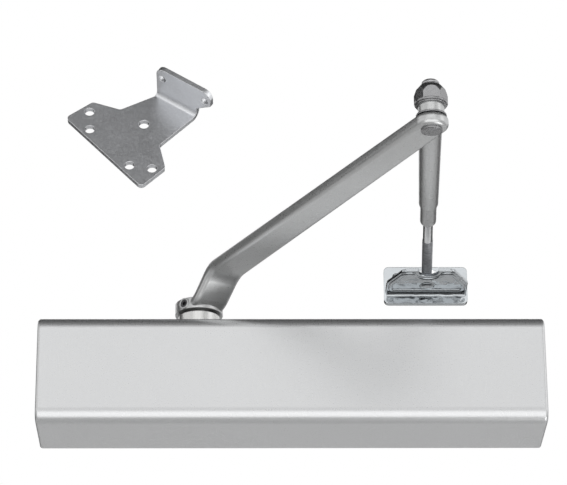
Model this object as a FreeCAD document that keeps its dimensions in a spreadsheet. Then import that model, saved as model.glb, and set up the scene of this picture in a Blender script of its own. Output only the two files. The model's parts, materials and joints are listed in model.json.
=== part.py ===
"""Surface door closer: full cover, rack-and-pinion body, regular arm and a loose parallel-arm bracket.

Millimetres and degrees, +Z up. The door face is the plane y = 0, and the closer stands out towards -Y.
The origin is the centre of the four door screws. The closer is drawn with the door shut.
"""
import FreeCAD
import Part
import Sketcher
import math
import os
import re

# Driving dimensions, one named cell each.
SIZES = {
    # cover
    "cover_length": 305,
    "cover_height": 67,
    "cover_depth": 50,
    "cover_wall": 2,
    "cover_edge_radius": 8,
    "cover_corner_radius": 2,
    "cover_clearance": 0.5,
    "cover_notch_gap": 2,
    "cover_end_room": 9.384,
    "cover_screw_radius": 2,
    "cover_screw_head_radius": 4,
    "cover_screw_length": 14,
    "cover_screw_depth": 8,
    "cover_screw_height": 24,
    "cover_screw_slot_width": 1,
    "cover_screw_slot_depth": 1.2,
    # cast body
    "barrel_back_gap": 3,
    "barrel_front_gap": 1,
    "barrel_wall": 4,
    "boss_radius": 19,
    "foot_thickness": 8,
    "foot_width": 26,
    "foot_corner_radius": 6,
    "lug_height": 11,
    "lug_depth": 14,
    "mount_spacing_x": 228.6,
    "mount_spacing_z": 50.8,
    "mount_hole_radius": 3.3,
    # end caps
    "cap_thread_wall": 2,
    "cap_thread_length": 12,
    "cap_spigot_length": 6.6,
    "cap_head_width": 30,
    "cap_head_height": 5,
    "seal_thickness": 2.2,
    "seal_width": 2.4,
    "seal_gap": 0.1,
    "thread_clearance": 0.05,
    # spindle and its bearings
    "spindle_swing": 180,
    "journal_radius": 8,
    "running_clearance": 0.04,
    "gear_module": 2,
    "gear_teeth": 10,
    "gear_pressure_angle": 25,
    "gear_dedendum": 2.5,
    "gear_half_width": 11,
    "spindle_square": 12,
    "square_clearance": 0.06,
    "bearing_radius": 13,
    "bearing_height": 6,
    "bearing_gap": 0.4,
    "bearing_cap_radius": 15,
    "collar_radius": 12.85,
    "collar_rise": 8,
    "lip_seal_radius": 10.5,
    "lip_seal_height": 3,
    "key_slot_width": 3,
    "key_slot_depth": 2,
    # piston
    "piston_clearance": 0.05,
    "piston_head": 12.5,
    "piston_end_gap": 1,
    "window_margin": 0.6,
    "rack_addendum": 1.7,
    "rack_dedendum": 2.5,
    "rack_backlash": 0.3,
    "rack_spaces": 8,
    "check_hole_radius": 4,
    "check_ball_radius": 2.4,
    "check_ball_gap": 0.1,
    "check_seat_length": 4,
    "check_port_radius": 1.5,
    # spring and its adjustment
    "wire_radius": 2.75,
    "coil_gap": 1.75,
    "active_turns": 8,
    "wire_sides": 8,
    "spring_end_gap": 0.1,
    "seat_thickness": 8,
    "seat_pilot_gap": 1.75,
    "seat_pilot_height": 3,
    "seat_bore_gap": 0.3,
    "seat_collar_gap": 0.4,
    "seat_travel": 12,
    "power_screw_radius": 4,
    "power_collar_radius": 8,
    "power_collar_thickness": 2.5,
    "power_screw_end": 4,
    "power_socket_width": 4,
    "power_socket_depth": 3.5,
    # regulating valves
    "valve_radius": 3,
    "valve_head_radius": 4.2,
    "valve_head_height": 2.6,
    "valve_boss_radius": 7,
    "valve_web": 1.5,
    "valve_slot_width": 1,
    "valve_slot_depth": 1.2,
    "closing_valve_reach": 48,
    "latching_valve_reach": 30,
    "backcheck_valve_reach": 40,
    # main arm
    "arm_length": 262,
    "arm_angle": 60.5,
    "arm_rise": 15,
    "arm_thickness": 7.5,
    "arm_root_width": 22,
    "arm_tip_width": 18.5,
    "arm_edge_radius": 3,
    "hub_radius": 14.5,
    "hub_gap": 1.5,
    "hub_height": 7,
    "neck_start": 13,
    "neck_end": 33,
    "neck_lead": 3,
    "neck_bend_radius": 18,
    "set_screw_angle": 66.1,
    "set_screw_radius": 2.5,
    "set_boss_radius": 3.4,
    "set_boss_height": 0.8,
    "set_socket_width": 2.5,
    "set_socket_depth": 2.5,
    "arm_screw_radius": 4,
    "arm_screw_depth": 16,
    "arm_screw_socket_width": 5,
    "arm_screw_socket_depth": 3,
    "arm_washer_radius": 7,
    "arm_washer_thickness": 2,
    # elbow
    "elbow_bolt_radius": 4.8,
    "elbow_head_radius": 5.8,
    "elbow_head_height": 1.4,
    "elbow_head_edge": 1,
    "elbow_washer_radius": 8.4,
    "elbow_washer_thickness": 0.8,
    "elbow_nut_width": 16,
    "elbow_nut_height": 11,
    "elbow_nut_dome_start": 5,
    "elbow_nut_shoulder": 8.2,
    "elbow_nut_shoulder_radius": 8.2,
    "elbow_nut_top_radius": 6,
    "elbow_nut_flange_radius": 9,
    "elbow_nut_flange_height": 1.2,
    "elbow_bolt_end": 3.2,
    "elbow_bolt_chamfer": 0.8,
    # forearm
    "forearm_rise": 3.5,
    "eye_radius": 7.2,
    "eye_thickness": 5.6,
    "sleeve_start": 11.5,
    "sleeve_root_radius": 6.6,
    "sleeve_dome": 4,
    "sleeve_step": 126,
    "sleeve_step_radius": 5.7,
    "sleeve_step_length": 3,
    "nose_radius": 4.8,
    "sleeve_end": 152.7,
    "nose_round": 2,
    "sleeve_bore_end": 56,
    "neck_web_width": 11,
    "lock_screw_radius": 2,
    "lock_screw_inset": 14,
    "lock_boss_radius": 3.6,
    "lock_boss_height": 1,
    "lock_socket_width": 2,
    "rod_radius": 3,
    "rod_clearance": 0.06,
    "rod_engagement": 74,
    "rod_eye_radius": 6.5,
    "rod_eye_lip": 0.2,
    # frame shoe
    "shoe_x": 84.5,
    "shoe_pivot_depth": 15,
    "shoe_width": 52,
    "shoe_height": 24.6,
    "shoe_base_thickness": 3.5,
    "shoe_corner_radius": 3,
    "shoe_tongue_thickness": 2,
    "shoe_tongue_root_width": 50.4,
    "shoe_tongue_tip_width": 31,
    "shoe_tongue_taper": 18,
    "shoe_tongue_depth": 37.4,
    "shoe_tongue_radius": 5,
    "shoe_tongue_gap": 0.15,
    "shoe_edge_radius": 1,
    "shoe_root_radius": 2.5,
    "shoe_notch_radius": 6,
    "shoe_notch_depth": 8,
    "shoe_hole_spacing": 36,
    "shoe_hole_rise": 5.5,
    "shoe_hole_radius": 2.6,
    "rivet_radius": 3,
    "rivet_head_radius": 4.8,
    "rivet_head_height": 1.2,
    # loose parallel-arm bracket
    "bracket_x": -92.5,
    "bracket_z": 183.5,
    "bracket_turn": 41.3,
    "bracket_lean": 13.5,
    "bracket_plate": 3.2,
    "bracket_back": 34,
    "bracket_back_half_width": 37.5,
    "bracket_side": 12.7,
    "bracket_side_half_width": 36,
    "bracket_neck": 3.4,
    "bracket_neck_half_width": 19.4,
    "bracket_fold": 30,
    "bracket_fold_half_width": 15,
    "bracket_fold_angle": 14,
    "bracket_corner_radius": 3,
    "bracket_flange_height": 29,
    "bracket_flange_reach": 26.4,
    "bracket_flange_radius": 6,
    "bracket_flange_root": 9,
    "bracket_flange_hole_radius": 2.6,
    "bracket_flange_hole_spacing": 33,
    "bracket_flange_hole_height": 20.5,
    "bracket_bend_radius": 3,
    "bracket_outer_hole": 19.4,
    "bracket_outer_hole_spacing": 62,
    "bracket_inner_hole": 28.5,
    "bracket_inner_hole_spacing": 39.4,
    "bracket_hole_radius": 3.2,
    "bracket_centre_hole_radius": 3.4,
}

# Sizes that follow from the driving ones.
DERIVED = {
    "half_length": "cover_length / 2",
    "half_height": "cover_height / 2",
    "cover_inner_end": "half_length - cover_wall",
    "cast_half_height": "half_height - cover_wall - cover_clearance",
    "cover_inner_edge_radius": "cover_edge_radius - cover_wall",
    "notch_radius": "collar_radius + cover_notch_gap",
    "barrel_radius": "(cover_depth - cover_wall - barrel_front_gap - barrel_back_gap) / 2",
    "bore_radius": "barrel_radius - barrel_wall",
    "axis_y": "-(barrel_back_gap + barrel_radius)",
    "barrel_half_length": "cover_inner_end - cover_end_room - power_screw_end - cap_head_height",
    "cap_face": "barrel_half_length - cap_thread_length - cap_spigot_length",
    "cap_thread_radius": "bore_radius + cap_thread_wall",
    "seal_groove": "bore_radius - seal_thickness - seal_gap",
    "seal_groove_half": "seal_width / 2 + seal_gap",
    "seal_middle": "cap_thread_length + cap_spigot_length / 2",
    "lug_end": "cover_inner_end - cover_clearance",
    "foot_edge": "mount_spacing_x / 2 + foot_width / 2",
    "pitch_radius": "gear_module * gear_teeth / 2",
    "gear_tip": "pitch_radius + gear_module",
    "rack_pitch": "pi * gear_module",
    "stroke": "pi * pitch_radius * spindle_swing / 180",
    "window_right": "gear_tip + window_margin",
    "window_left": "stroke + gear_tip + window_margin",
    "piston_right": "window_right + piston_head",
    "piston_left": "window_left + piston_head",
    "piston_length": "piston_left + piston_right",
    "spindle_x": "piston_left + piston_end_gap - cap_face",
    "closing_valve_x": "spindle_x - closing_valve_reach",
    "latching_valve_x": "spindle_x - latching_valve_reach",
    "backcheck_valve_x": "spindle_x + backcheck_valve_reach",
    "piston_radius": "bore_radius - piston_clearance",
    "rack_tip_y": "pitch_radius - rack_addendum",
    "rack_root_y": "pitch_radius + rack_dedendum",
    "bearing_bottom": "bore_radius + bearing_gap",
    "bearing_top": "bearing_bottom + bearing_height",
    "bearing_bore": "journal_radius + running_clearance",
    "collar_top": "half_height + collar_rise",
    "hub_bottom": "collar_top + hub_gap",
    "hub_top": "hub_bottom + hub_height",
    "spindle_shoulder": "hub_bottom - bearing_gap",
    "spindle_top": "hub_top - bearing_gap",
    "arm_under": "hub_bottom + arm_rise",
    "arm_top": "arm_under + arm_thickness",
    "elbow_x": "spindle_x + arm_length * cos(arm_angle)",
    "elbow_y": "axis_y - arm_length * sin(arm_angle)",
    "eye_bottom": "arm_top + elbow_washer_thickness",
    "eye_top": "eye_bottom + eye_thickness",
    "forearm_height": "eye_bottom + eye_thickness / 2 + forearm_rise",
    "nut_bottom": "eye_top + elbow_washer_thickness",
    "nut_top": "nut_bottom + elbow_nut_height",
    "pivot_x": "shoe_x",
    "pivot_y": "-shoe_pivot_depth",
    "forearm_length": "sqrt((pivot_x - elbow_x)^2 + (pivot_y - elbow_y)^2)",
    "forearm_angle": "atan2(pivot_y - elbow_y; pivot_x - elbow_x)",
    "rod_bore_radius": "rod_radius + rod_clearance",
    "coil_radius": "bore_radius - coil_gap - wire_radius",
    "seat_pilot_radius": "coil_radius - wire_radius - seat_pilot_gap",
    "spring_left": "spindle_x + piston_right",
    "seat_right": "cap_face - power_collar_thickness - seat_collar_gap",
    "seat_left": "seat_right - seat_thickness",
    "spring_length": "seat_left - spring_left - 2 * spring_end_gap",
    "valve_face": "cast_half_height - cover_clearance",
    "valve_bore_top": "bore_radius + valve_web",
    "rod_eye_half": "rod_radius + rod_eye_lip",
    "tongue_bottom": "forearm_height - rod_eye_half - shoe_tongue_gap - shoe_tongue_thickness",
    "bend_outer": "bracket_bend_radius + bracket_plate",
    "flange_root": "bracket_fold_half_width / cos(bracket_fold_angle)",
    "flange_middle": "(flange_root - bracket_flange_reach) / 2",
}

ALONG = {
    "z": FreeCAD.Rotation(),
    "-z": FreeCAD.Rotation(FreeCAD.Vector(1, 0, 0), 180),
    "x": FreeCAD.Rotation(FreeCAD.Vector(0, 1, 0), 90),
    "-x": FreeCAD.Rotation(FreeCAD.Vector(0, 1, 0), -90),
    "y": FreeCAD.Rotation(FreeCAD.Vector(1, 0, 0), -90),
    "-y": FreeCAD.Rotation(FreeCAD.Vector(1, 0, 0), 90),
}

doc = FreeCAD.newDocument("DoorCloser")
sheet = doc.addObject("Spreadsheet::Sheet", "Sizes")
for row, (name, number) in enumerate(SIZES.items(), start=1):
    sheet.set(f"A{row}", name)
    sheet.set(f"B{row}", str(number))
    sheet.setAlias(f"B{row}", name)
doc.recompute()

nodes = []


def ex(text):
    """Writes an expression of named sizes in the sheet's terms."""

    def swap(match):
        word = match[0]
        if word in SIZES:
            return "Sizes." + word
        if word in DERIVED:
            return "(" + ex(DERIVED[word]) + ")"
        return word

    return re.sub(r"[a-z]\w*", swap, text)


def val(text):
    """The present value of an expression of named sizes."""
    result = sheet.evalExpression(ex(text))
    return float(getattr(result, "Value", result))


def bind(obj, **sizes):
    """Binds properties of an object to the sheet."""
    for name, text in sizes.items():
        obj.setExpression(name, ex(text))
    return obj


def place(obj, at=("0", "0", "0"), along="z"):
    """Puts an object's origin at a bound point, with its Z axis along the given direction."""
    obj.Placement = FreeCAD.Placement(FreeCAD.Vector(), ALONG[along])
    for axis, text in zip("xyz", at):
        obj.setExpression("Placement.Base." + axis, ex(text))
    return obj


def turn(obj, angle, axis=(0, 0, 1)):
    """Turns a placed object about an axis by a bound angle."""
    obj.Placement = FreeCAD.Placement(
        FreeCAD.Vector(), FreeCAD.Rotation(FreeCAD.Vector(*axis), val(angle))
    )
    obj.setExpression("Placement.Rotation.Angle", ex(angle))
    return obj


def cylinder(name, radius, length, at=("0", "0", "0"), along="z"):
    obj = doc.addObject("Part::Cylinder", name)
    return place(bind(obj, Radius=radius, Height=length), at, along)


def box(name, length, width, height, at):
    """A box with its lowest corner at the given point."""
    obj = doc.addObject("Part::Box", name)
    return place(bind(obj, Length=length, Width=width, Height=height), at)


def cone(name, radius1, radius2, height, at, along="z"):
    obj = doc.addObject("Part::Cone", name)
    return place(bind(obj, Radius1=radius1, Radius2=radius2, Height=height), at, along)


def hexagon(name, width, height, at, along="z"):
    """A hexagonal prism given by its width across flats."""
    obj = doc.addObject("Part::Prism", name)
    obj.Polygon = 6
    return place(bind(obj, Circumradius=width + " / sqrt(3)", Height=height), at, along)


def fuse(name, pieces):
    obj = doc.addObject("Part::MultiFuse", name)
    obj.Shapes = pieces
    obj.Refine = True
    return obj


def group(name, pieces):
    """Separate solids kept in one node."""
    obj = doc.addObject("Part::Compound", name)
    obj.Links = pieces
    return obj


def cut(name, base, tools):
    obj = doc.addObject("Part::Cut", name)
    obj.Base = base
    obj.Tool = tools[0] if len(tools) == 1 else fuse(name + "_tools", tools)
    return obj


def common(name, first, second):
    obj = doc.addObject("Part::Common", name)
    obj.Base = first
    obj.Tool = second
    return obj


def new_body(name):
    return doc.addObject("PartDesign::Body", name)


def outline(body, plane, loops):
    """A sketch of closed loops of straight edges, with every corner bound to the sheet."""
    sketch = body.newObject("Sketcher::SketchObject", body.Name + "_sketch")
    support = next(f for f in body.Origin.OriginFeatures if f.Role == plane)
    sketch.AttachmentSupport = [(support, "")]
    sketch.MapMode = "FlatFace"
    for corners in loops:
        first = sketch.GeometryCount
        count = len(corners)
        guess = [FreeCAD.Vector(val(a), val(b), 0) for a, b in corners]
        for k in range(count):
            sketch.addGeometry(Part.LineSegment(guess[k], guess[(k + 1) % count]))
        for k in range(count):
            following = first + (k + 1) % count
            sketch.addConstraint(Sketcher.Constraint("Coincident", first + k, 2, following, 1))
        for k, corner in enumerate(corners):
            for kind, text in zip(("DistanceX", "DistanceY"), corner):
                rule = Sketcher.Constraint(kind, -1, 1, first + k, 1, val(text))
                sketch.setExpression(f"Constraints[{sketch.addConstraint(rule)}]", ex(text))
    return sketch


def pad(body, sketch, length, symmetric=False):
    feature = body.newObject("PartDesign::Pad", body.Name + "_pad")
    feature.Profile = sketch
    feature.SideType = "Symmetric" if symmetric else "One side"
    bind(feature, Length=length)
    doc.recompute()
    return feature


def pocket_through(body, sketch):
    """Cuts a sketch right through the body, to both sides of its plane."""
    before = body.Shape.Volume
    feature = body.newObject("PartDesign::Pocket", body.Name + "_pocket")
    feature.Profile = sketch
    feature.Type = "ThroughAll"
    feature.SideType = "Symmetric"
    doc.recompute()
    if not feature.Shape.Volume < before:
        raise RuntimeError(f"{feature.Name} cuts nothing")
    return feature


def fillet(body, base, radius, picks):
    """Rounds the edges of a feature that a test picks by the points along them."""
    names = [f"Edge{k}" for k, e in enumerate(base.Shape.Edges, start=1) if picks(e)]
    if not names:
        raise RuntimeError(f"no edge of {base.Name} to round")
    feature = body.newObject("PartDesign::Fillet", body.Name + "_fillet")
    feature.Base = (base, names)
    bind(feature, Radius=radius)
    doc.recompute()
    return feature


def runs_along(edge, axis):
    """Is this a straight edge along one axis?"""
    if not isinstance(edge.Curve, Part.Line):
        return False
    return abs(abs(getattr(edge.Curve.Direction, axis)) - 1) < 1e-6


def turned(name, profile, at=("0", "0", "0"), along="z"):
    """A solid of revolution about its Z axis from (radius, height) corners."""
    body = new_body(name)
    sketch = outline(body, "XZ_Plane", [profile])
    feature = body.newObject("PartDesign::Revolution", name + "_turn")
    feature.Profile = sketch
    feature.ReferenceAxis = (sketch, ["V_Axis"])
    feature.Angle = 360
    doc.recompute()
    return place(body, at, along)


def node(label, obj):
    """Marks a finished piece, which is written out under its label."""
    obj.Label = label
    nodes.append(obj)
    return obj


def make_housing():
    """Cast body: barrel, spindle boss, valve bosses, two feet on the door and two cover lugs."""
    barrel = cylinder(
        "barrel",
        "barrel_radius",
        "2 * barrel_half_length",
        ("-barrel_half_length", "axis_y", "0"),
        "x",
    )
    boss = cylinder(
        "spindle_boss",
        "boss_radius",
        "2 * cast_half_height",
        ("spindle_x", "axis_y", "-cast_half_height"),
    )
    solids = [barrel, boss]
    holes = []
    for side, sign in (("left", "-"), ("right", "")):
        solids.append(make_foot("foot_" + side, sign))
        solids.append(make_lug("lug_" + side, sign, "" if sign else "-"))
        holes += make_end_holes(side, sign)
        for level, sign_z in (("low", "-"), ("high", "")):
            middle = (sign + "mount_spacing_x / 2", "-foot_thickness", sign_z + "mount_spacing_z / 2")
            name = f"mount_hole_{side}_{level}"
            holes.append(cylinder(name, "mount_hole_radius", "foot_thickness", middle, "y"))
    for name in ("closing", "latching", "backcheck"):
        foot = (name + "_valve_x", "axis_y", "-valve_face")
        solids.append(cylinder("boss_" + name, "valve_boss_radius", "valve_face - bore_radius", foot))
        depth = "valve_face - valve_bore_top"
        holes.append(cylinder("hole_" + name, "valve_radius + running_clearance", depth, foot))
        recess = "valve_head_radius + running_clearance"
        holes.append(cylinder("recess_" + name, recess, "valve_head_height", foot))
    holes.append(
        cylinder(
            "bore", "bore_radius", "2 * barrel_half_length", ("-barrel_half_length", "axis_y", "0"), "x"
        )
    )
    low = ("spindle_x", "axis_y", "-cast_half_height")
    holes.append(cylinder("spindle_bore", "bearing_radius", "2 * cast_half_height", low))
    depth = "cast_half_height - bearing_top"
    holes.append(cylinder("cap_recess_low", "bearing_cap_radius", depth, low))
    high = ("spindle_x", "axis_y", "bearing_top")
    holes.append(cylinder("cap_recess_high", "bearing_cap_radius", depth, high))
    node("closer_housing", cut("housing", fuse("casting", solids), holes))


def make_foot(name, sign):
    """Foot plate on the door, as tall as the cover allows, with rounded corners."""
    body = new_body(name)
    middle = sign + "mount_spacing_x / 2"
    near = middle + " - foot_width / 2"
    far = middle + " + foot_width / 2"
    corners = [
        (near, "-cast_half_height"),
        (far, "-cast_half_height"),
        (far, "cast_half_height"),
        (near, "cast_half_height"),
    ]
    plate = pad(body, outline(body, "XZ_Plane", [corners]), "foot_thickness")
    fillet(body, plate, "foot_corner_radius", lambda e: runs_along(e, "y"))
    return body


def make_lug(name, sign, sign_z):
    """Lug from a foot to the end of the cover, tapped for the cover screw."""
    start = "foot_edge - foot_corner_radius" if not sign else "-lug_end"
    low = sign_z + "cover_screw_height - lug_height / 2"
    length = "lug_end - foot_edge + foot_corner_radius"
    return box(name, length, "lug_depth", "lug_height", (start, "-lug_depth", low))


def make_end_holes(side, sign):
    """Threaded recess for an end cap, and the tapped hole for a cover screw."""
    inner = sign + "(barrel_half_length - cap_thread_length)"
    along = "-x" if sign else "x"
    recess = cylinder(
        "cap_recess_" + side, "cap_thread_radius", "cap_thread_length", (inner, "axis_y", "0"), along
    )
    sign_z = "" if sign else "-"
    start = (
        sign + "(half_length - cover_screw_length)",
        "-cover_screw_depth",
        sign_z + "cover_screw_height",
    )
    hole = cylinder("screw_hole_" + side, "cover_screw_radius", "cover_screw_length", start, along)
    return [recess, hole]


def make_cover():
    """Pressed full cover, open to the door, with a notch for the spindle collar and two screw holes."""
    outer = cover_block("cover_outer", "0", "0", "cover_edge_radius", "cover_corner_radius")
    inner = cover_block("cover_inner", "cover_wall", "cover_wall", "cover_inner_edge_radius", None)
    middle = ("spindle_x", "axis_y", "0")
    notch = cylinder("notch_round", "notch_radius", "cover_height", middle)
    corner = ("spindle_x - notch_radius", "axis_y", "0")
    slot = box("notch_slot", "2 * notch_radius", "-axis_y", "cover_height", corner)
    holes = [inner, notch, slot]
    for side, sign, sign_z, along in (("left", "-", "", "x"), ("right", "", "-", "-x")):
        outside = (sign + "half_length", "-cover_screw_depth", sign_z + "cover_screw_height")
        widest = "cover_screw_head_radius + thread_clearance"
        narrow = "cover_screw_radius + thread_clearance"
        holes.append(cone("countersink_" + side, widest, narrow, "cover_wall", outside, along))
    node("cover", cut("cover", outer, holes))


def cover_block(name, inset, front, edge_radius, corner_radius):
    """A block as long and high as the cover less an inset, with its long front edges rounded."""
    body = new_body(name)
    top = "half_height - " + inset
    face = front + " - cover_depth"
    corners = [(face, "-(" + top + ")"), ("0", "-(" + top + ")"), ("0", top), (face, top)]
    sketch = outline(body, "YZ_Plane", [corners])
    block = pad(body, sketch, "cover_length - 2 * " + inset, symmetric=True)
    front_y = val(face)
    rounded = fillet(
        body, block, edge_radius, lambda e: runs_along(e, "x") and abs(e.CenterOfMass.y - front_y) < 1e-6
    )
    if corner_radius:
        end_x = val("half_length")
        back = -1e-6

        def at_end(edge):
            middle = edge.CenterOfMass
            return abs(abs(middle.x) - end_x) < 1e-6 and middle.y < back

        fillet(body, rounded, corner_radius, at_end)
    return body


def make_cover_screws():
    """Two slotted countersunk screws, one in each end of the cover."""
    profile = [
        ("0", "0"),
        ("cover_screw_head_radius", "0"),
        ("cover_screw_radius", "cover_wall"),
        ("cover_screw_radius", "cover_screw_length - cover_clearance"),
        ("0", "cover_screw_length - cover_clearance"),
    ]
    screws = []
    for side, sign, sign_z, along in (("left", "-", "", "x"), ("right", "", "-", "-x")):
        stem = turned("cover_stem_" + side, profile)
        at = ("-cover_screw_slot_width / 2", "-cover_screw_head_radius", "0")
        slot = box(
            "cover_slot_" + side,
            "cover_screw_slot_width",
            "2 * cover_screw_head_radius",
            "cover_screw_slot_depth",
            at,
        )
        screw = cut("cover_screw_" + side, stem, [slot])
        outside = (sign + "half_length", "-cover_screw_depth", sign_z + "cover_screw_height")
        screws.append(place(screw, outside, along))
    node("cover_screws", group("cover_screws", screws))


def cap_profile(bore):
    """Corners of a threaded end cap from its flange face inwards, with a groove for its seal."""
    thread = "cap_thread_radius - thread_clearance"
    spigot = "bore_radius - piston_clearance"
    inner = "cap_thread_length + cap_spigot_length"
    return [
        (bore, "0"),
        (thread, "0"),
        (thread, "cap_thread_length"),
        (spigot, "cap_thread_length"),
        (spigot, "seal_middle - seal_groove_half"),
        ("seal_groove", "seal_middle - seal_groove_half"),
        ("seal_groove", "seal_middle + seal_groove_half"),
        (spigot, "seal_middle + seal_groove_half"),
        (spigot, inner),
        (bore, inner),
    ]


def make_end_caps():
    """Threaded caps with hexagon heads. The right one carries the power screw."""
    left = turned("left_cap_plug", cap_profile("0"), ("-barrel_half_length", "axis_y", "0"), "x")
    at = ("-barrel_half_length", "axis_y", "0")
    head = hexagon("left_cap_head", "cap_head_width", "cap_head_height", at, "-x")
    node("left_end_cap", fuse("left_end_cap", [left, head]))
    at = ("barrel_half_length", "axis_y", "0")
    bore = "power_screw_radius + running_clearance"
    plug = turned("right_cap_plug", cap_profile(bore), at, "-x")
    head = hexagon("right_cap_head", "cap_head_width", "cap_head_height", at, "x")
    hole = cylinder("right_cap_hole", bore, "cap_head_height", at, "x")
    node("right_end_cap", fuse("right_end_cap", [plug, cut("right_cap_ring", head, [hole])]))
    inner = "bore_radius - seal_thickness"
    outer = "bore_radius"
    ring = [
        (inner, "-seal_width / 2"),
        (outer, "-seal_width / 2"),
        (outer, "seal_width / 2"),
        (inner, "seal_width / 2"),
    ]
    rings = []
    for side, sign in (("left", "-"), ("right", "")):
        at = (sign + "(barrel_half_length - seal_middle)", "axis_y", "0")
        rings.append(turned("cap_seal_" + side, ring, at, "x"))
    node("end_cap_seals", group("end_cap_seals", rings))


def make_bearings():
    """Bearing rings, the caps screwed in over them, and the lip seal in the upper cap."""
    outer = "bearing_radius - thread_clearance"
    ring = [
        ("bearing_bore", "0"),
        (outer, "0"),
        (outer, "bearing_height"),
        ("bearing_bore", "bearing_height"),
    ]
    upper = turned("upper_ring", ring, ("spindle_x", "axis_y", "bearing_bottom"))
    lower = turned("lower_ring", ring, ("spindle_x", "axis_y", "-bearing_top"))
    node("spindle_bearings", group("spindle_bearings", [upper, lower]))

    thread = "bearing_cap_radius - thread_clearance"
    seat = "collar_top - lip_seal_height"
    profile = [
        ("bearing_bore", "bearing_top"),
        (thread, "bearing_top"),
        (thread, "cast_half_height"),
        ("collar_radius", "cast_half_height"),
        ("collar_radius", "collar_top"),
        ("lip_seal_radius", "collar_top"),
        ("lip_seal_radius", seat),
        ("bearing_bore", seat),
    ]
    node("upper_bearing_cap", turned("upper_cap", profile, ("spindle_x", "axis_y", "0")))

    lip = "lip_seal_radius - running_clearance"
    seal = [
        ("bearing_bore", seat),
        (lip, seat),
        (lip, "collar_top - bearing_gap"),
        ("bearing_bore", "collar_top - bearing_gap"),
    ]
    node("spindle_seal", turned("lip_seal", seal, ("spindle_x", "axis_y", "0")))

    plug = cylinder(
        "lower_cap_plug",
        thread,
        "cast_half_height - bearing_top",
        ("spindle_x", "axis_y", "-cast_half_height"),
    )
    slot_corner = ("spindle_x - bearing_cap_radius", "axis_y - key_slot_width / 2", "-cast_half_height")
    slot = box("lower_cap_slot", "2 * bearing_cap_radius", "key_slot_width", "key_slot_depth", slot_corner)
    node("lower_bearing_cap", cut("lower_bearing_cap", plug, [slot]))


def gear_shape():
    """Involute pinion with a tooth straight at the rack, each flank one arc through three of its points."""
    teeth = int(val("gear_teeth"))
    pressure = math.radians(val("gear_pressure_angle"))
    base = val("pitch_radius") * math.cos(pressure)
    tip = val("gear_tip")
    root = val("pitch_radius - gear_dedendum")
    widest = math.pi / (2 * teeth) + math.tan(pressure) - pressure

    def half_tooth(radius):
        angle = math.acos(base / radius)
        return widest - math.tan(angle) + angle

    def at(radius, angle):
        return FreeCAD.Vector(radius * math.cos(angle), radius * math.sin(angle), 0)

    step = 2 * math.pi / teeth
    flank = [base, (base + tip) / 2, tip]
    edges = []
    for k in range(teeth):
        centre = k * step - math.pi / 2
        rising = [at(r, centre - half_tooth(r)) for r in flank]
        falling = [at(r, centre + half_tooth(r)) for r in reversed(flank)]
        foot = at(root, centre - widest)
        heel = at(root, centre + widest)
        edges.append(Part.makeLine(foot, rising[0]))
        edges.append(Part.Arc(*rising).toShape())
        edges.append(Part.Arc(rising[-1], at(tip, centre), falling[0]).toShape())
        edges.append(Part.Arc(*falling).toShape())
        edges.append(Part.makeLine(falling[-1], heel))
        following = at(root, centre + step - widest)
        edges.append(Part.Arc(heel, at(root, centre + step / 2), following).toShape())
    return Part.Face(Part.Wire(edges)).extrude(FreeCAD.Vector(0, 0, val("2 * gear_half_width")))


def make_spindle():
    """Pinion shaft: journals, gear teeth and the square end that drives the arm."""
    gear = doc.addObject("Part::Feature", "pinion_teeth")
    gear.Shape = gear_shape()
    place(gear, ("0", "0", "-gear_half_width"))
    bottom = "-(bearing_top - bearing_gap)"
    shaft = cylinder(
        "shaft", "journal_radius", "spindle_shoulder + bearing_top - bearing_gap", ("0", "0", bottom)
    )
    at = ("-spindle_square / 2", "-spindle_square / 2", "spindle_shoulder - bearing_gap")
    length = "spindle_top - spindle_shoulder + bearing_gap"
    square = box("square", "spindle_square", "spindle_square", length, at)
    stock = cylinder("square_stock", "journal_radius", "spindle_top", ("0", "0", "0"))
    end = common("square_end", square, stock)
    at = ("0", "0", "spindle_top - arm_screw_depth")
    tapped = cylinder("arm_screw_hole", "arm_screw_radius + thread_clearance", "arm_screw_depth", at)
    shaft = cut("pinion_shaft", fuse("shaft_blank", [gear, shaft, end]), [tapped])
    node("pinion_shaft", place(shaft, ("spindle_x", "axis_y", "0")))


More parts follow.
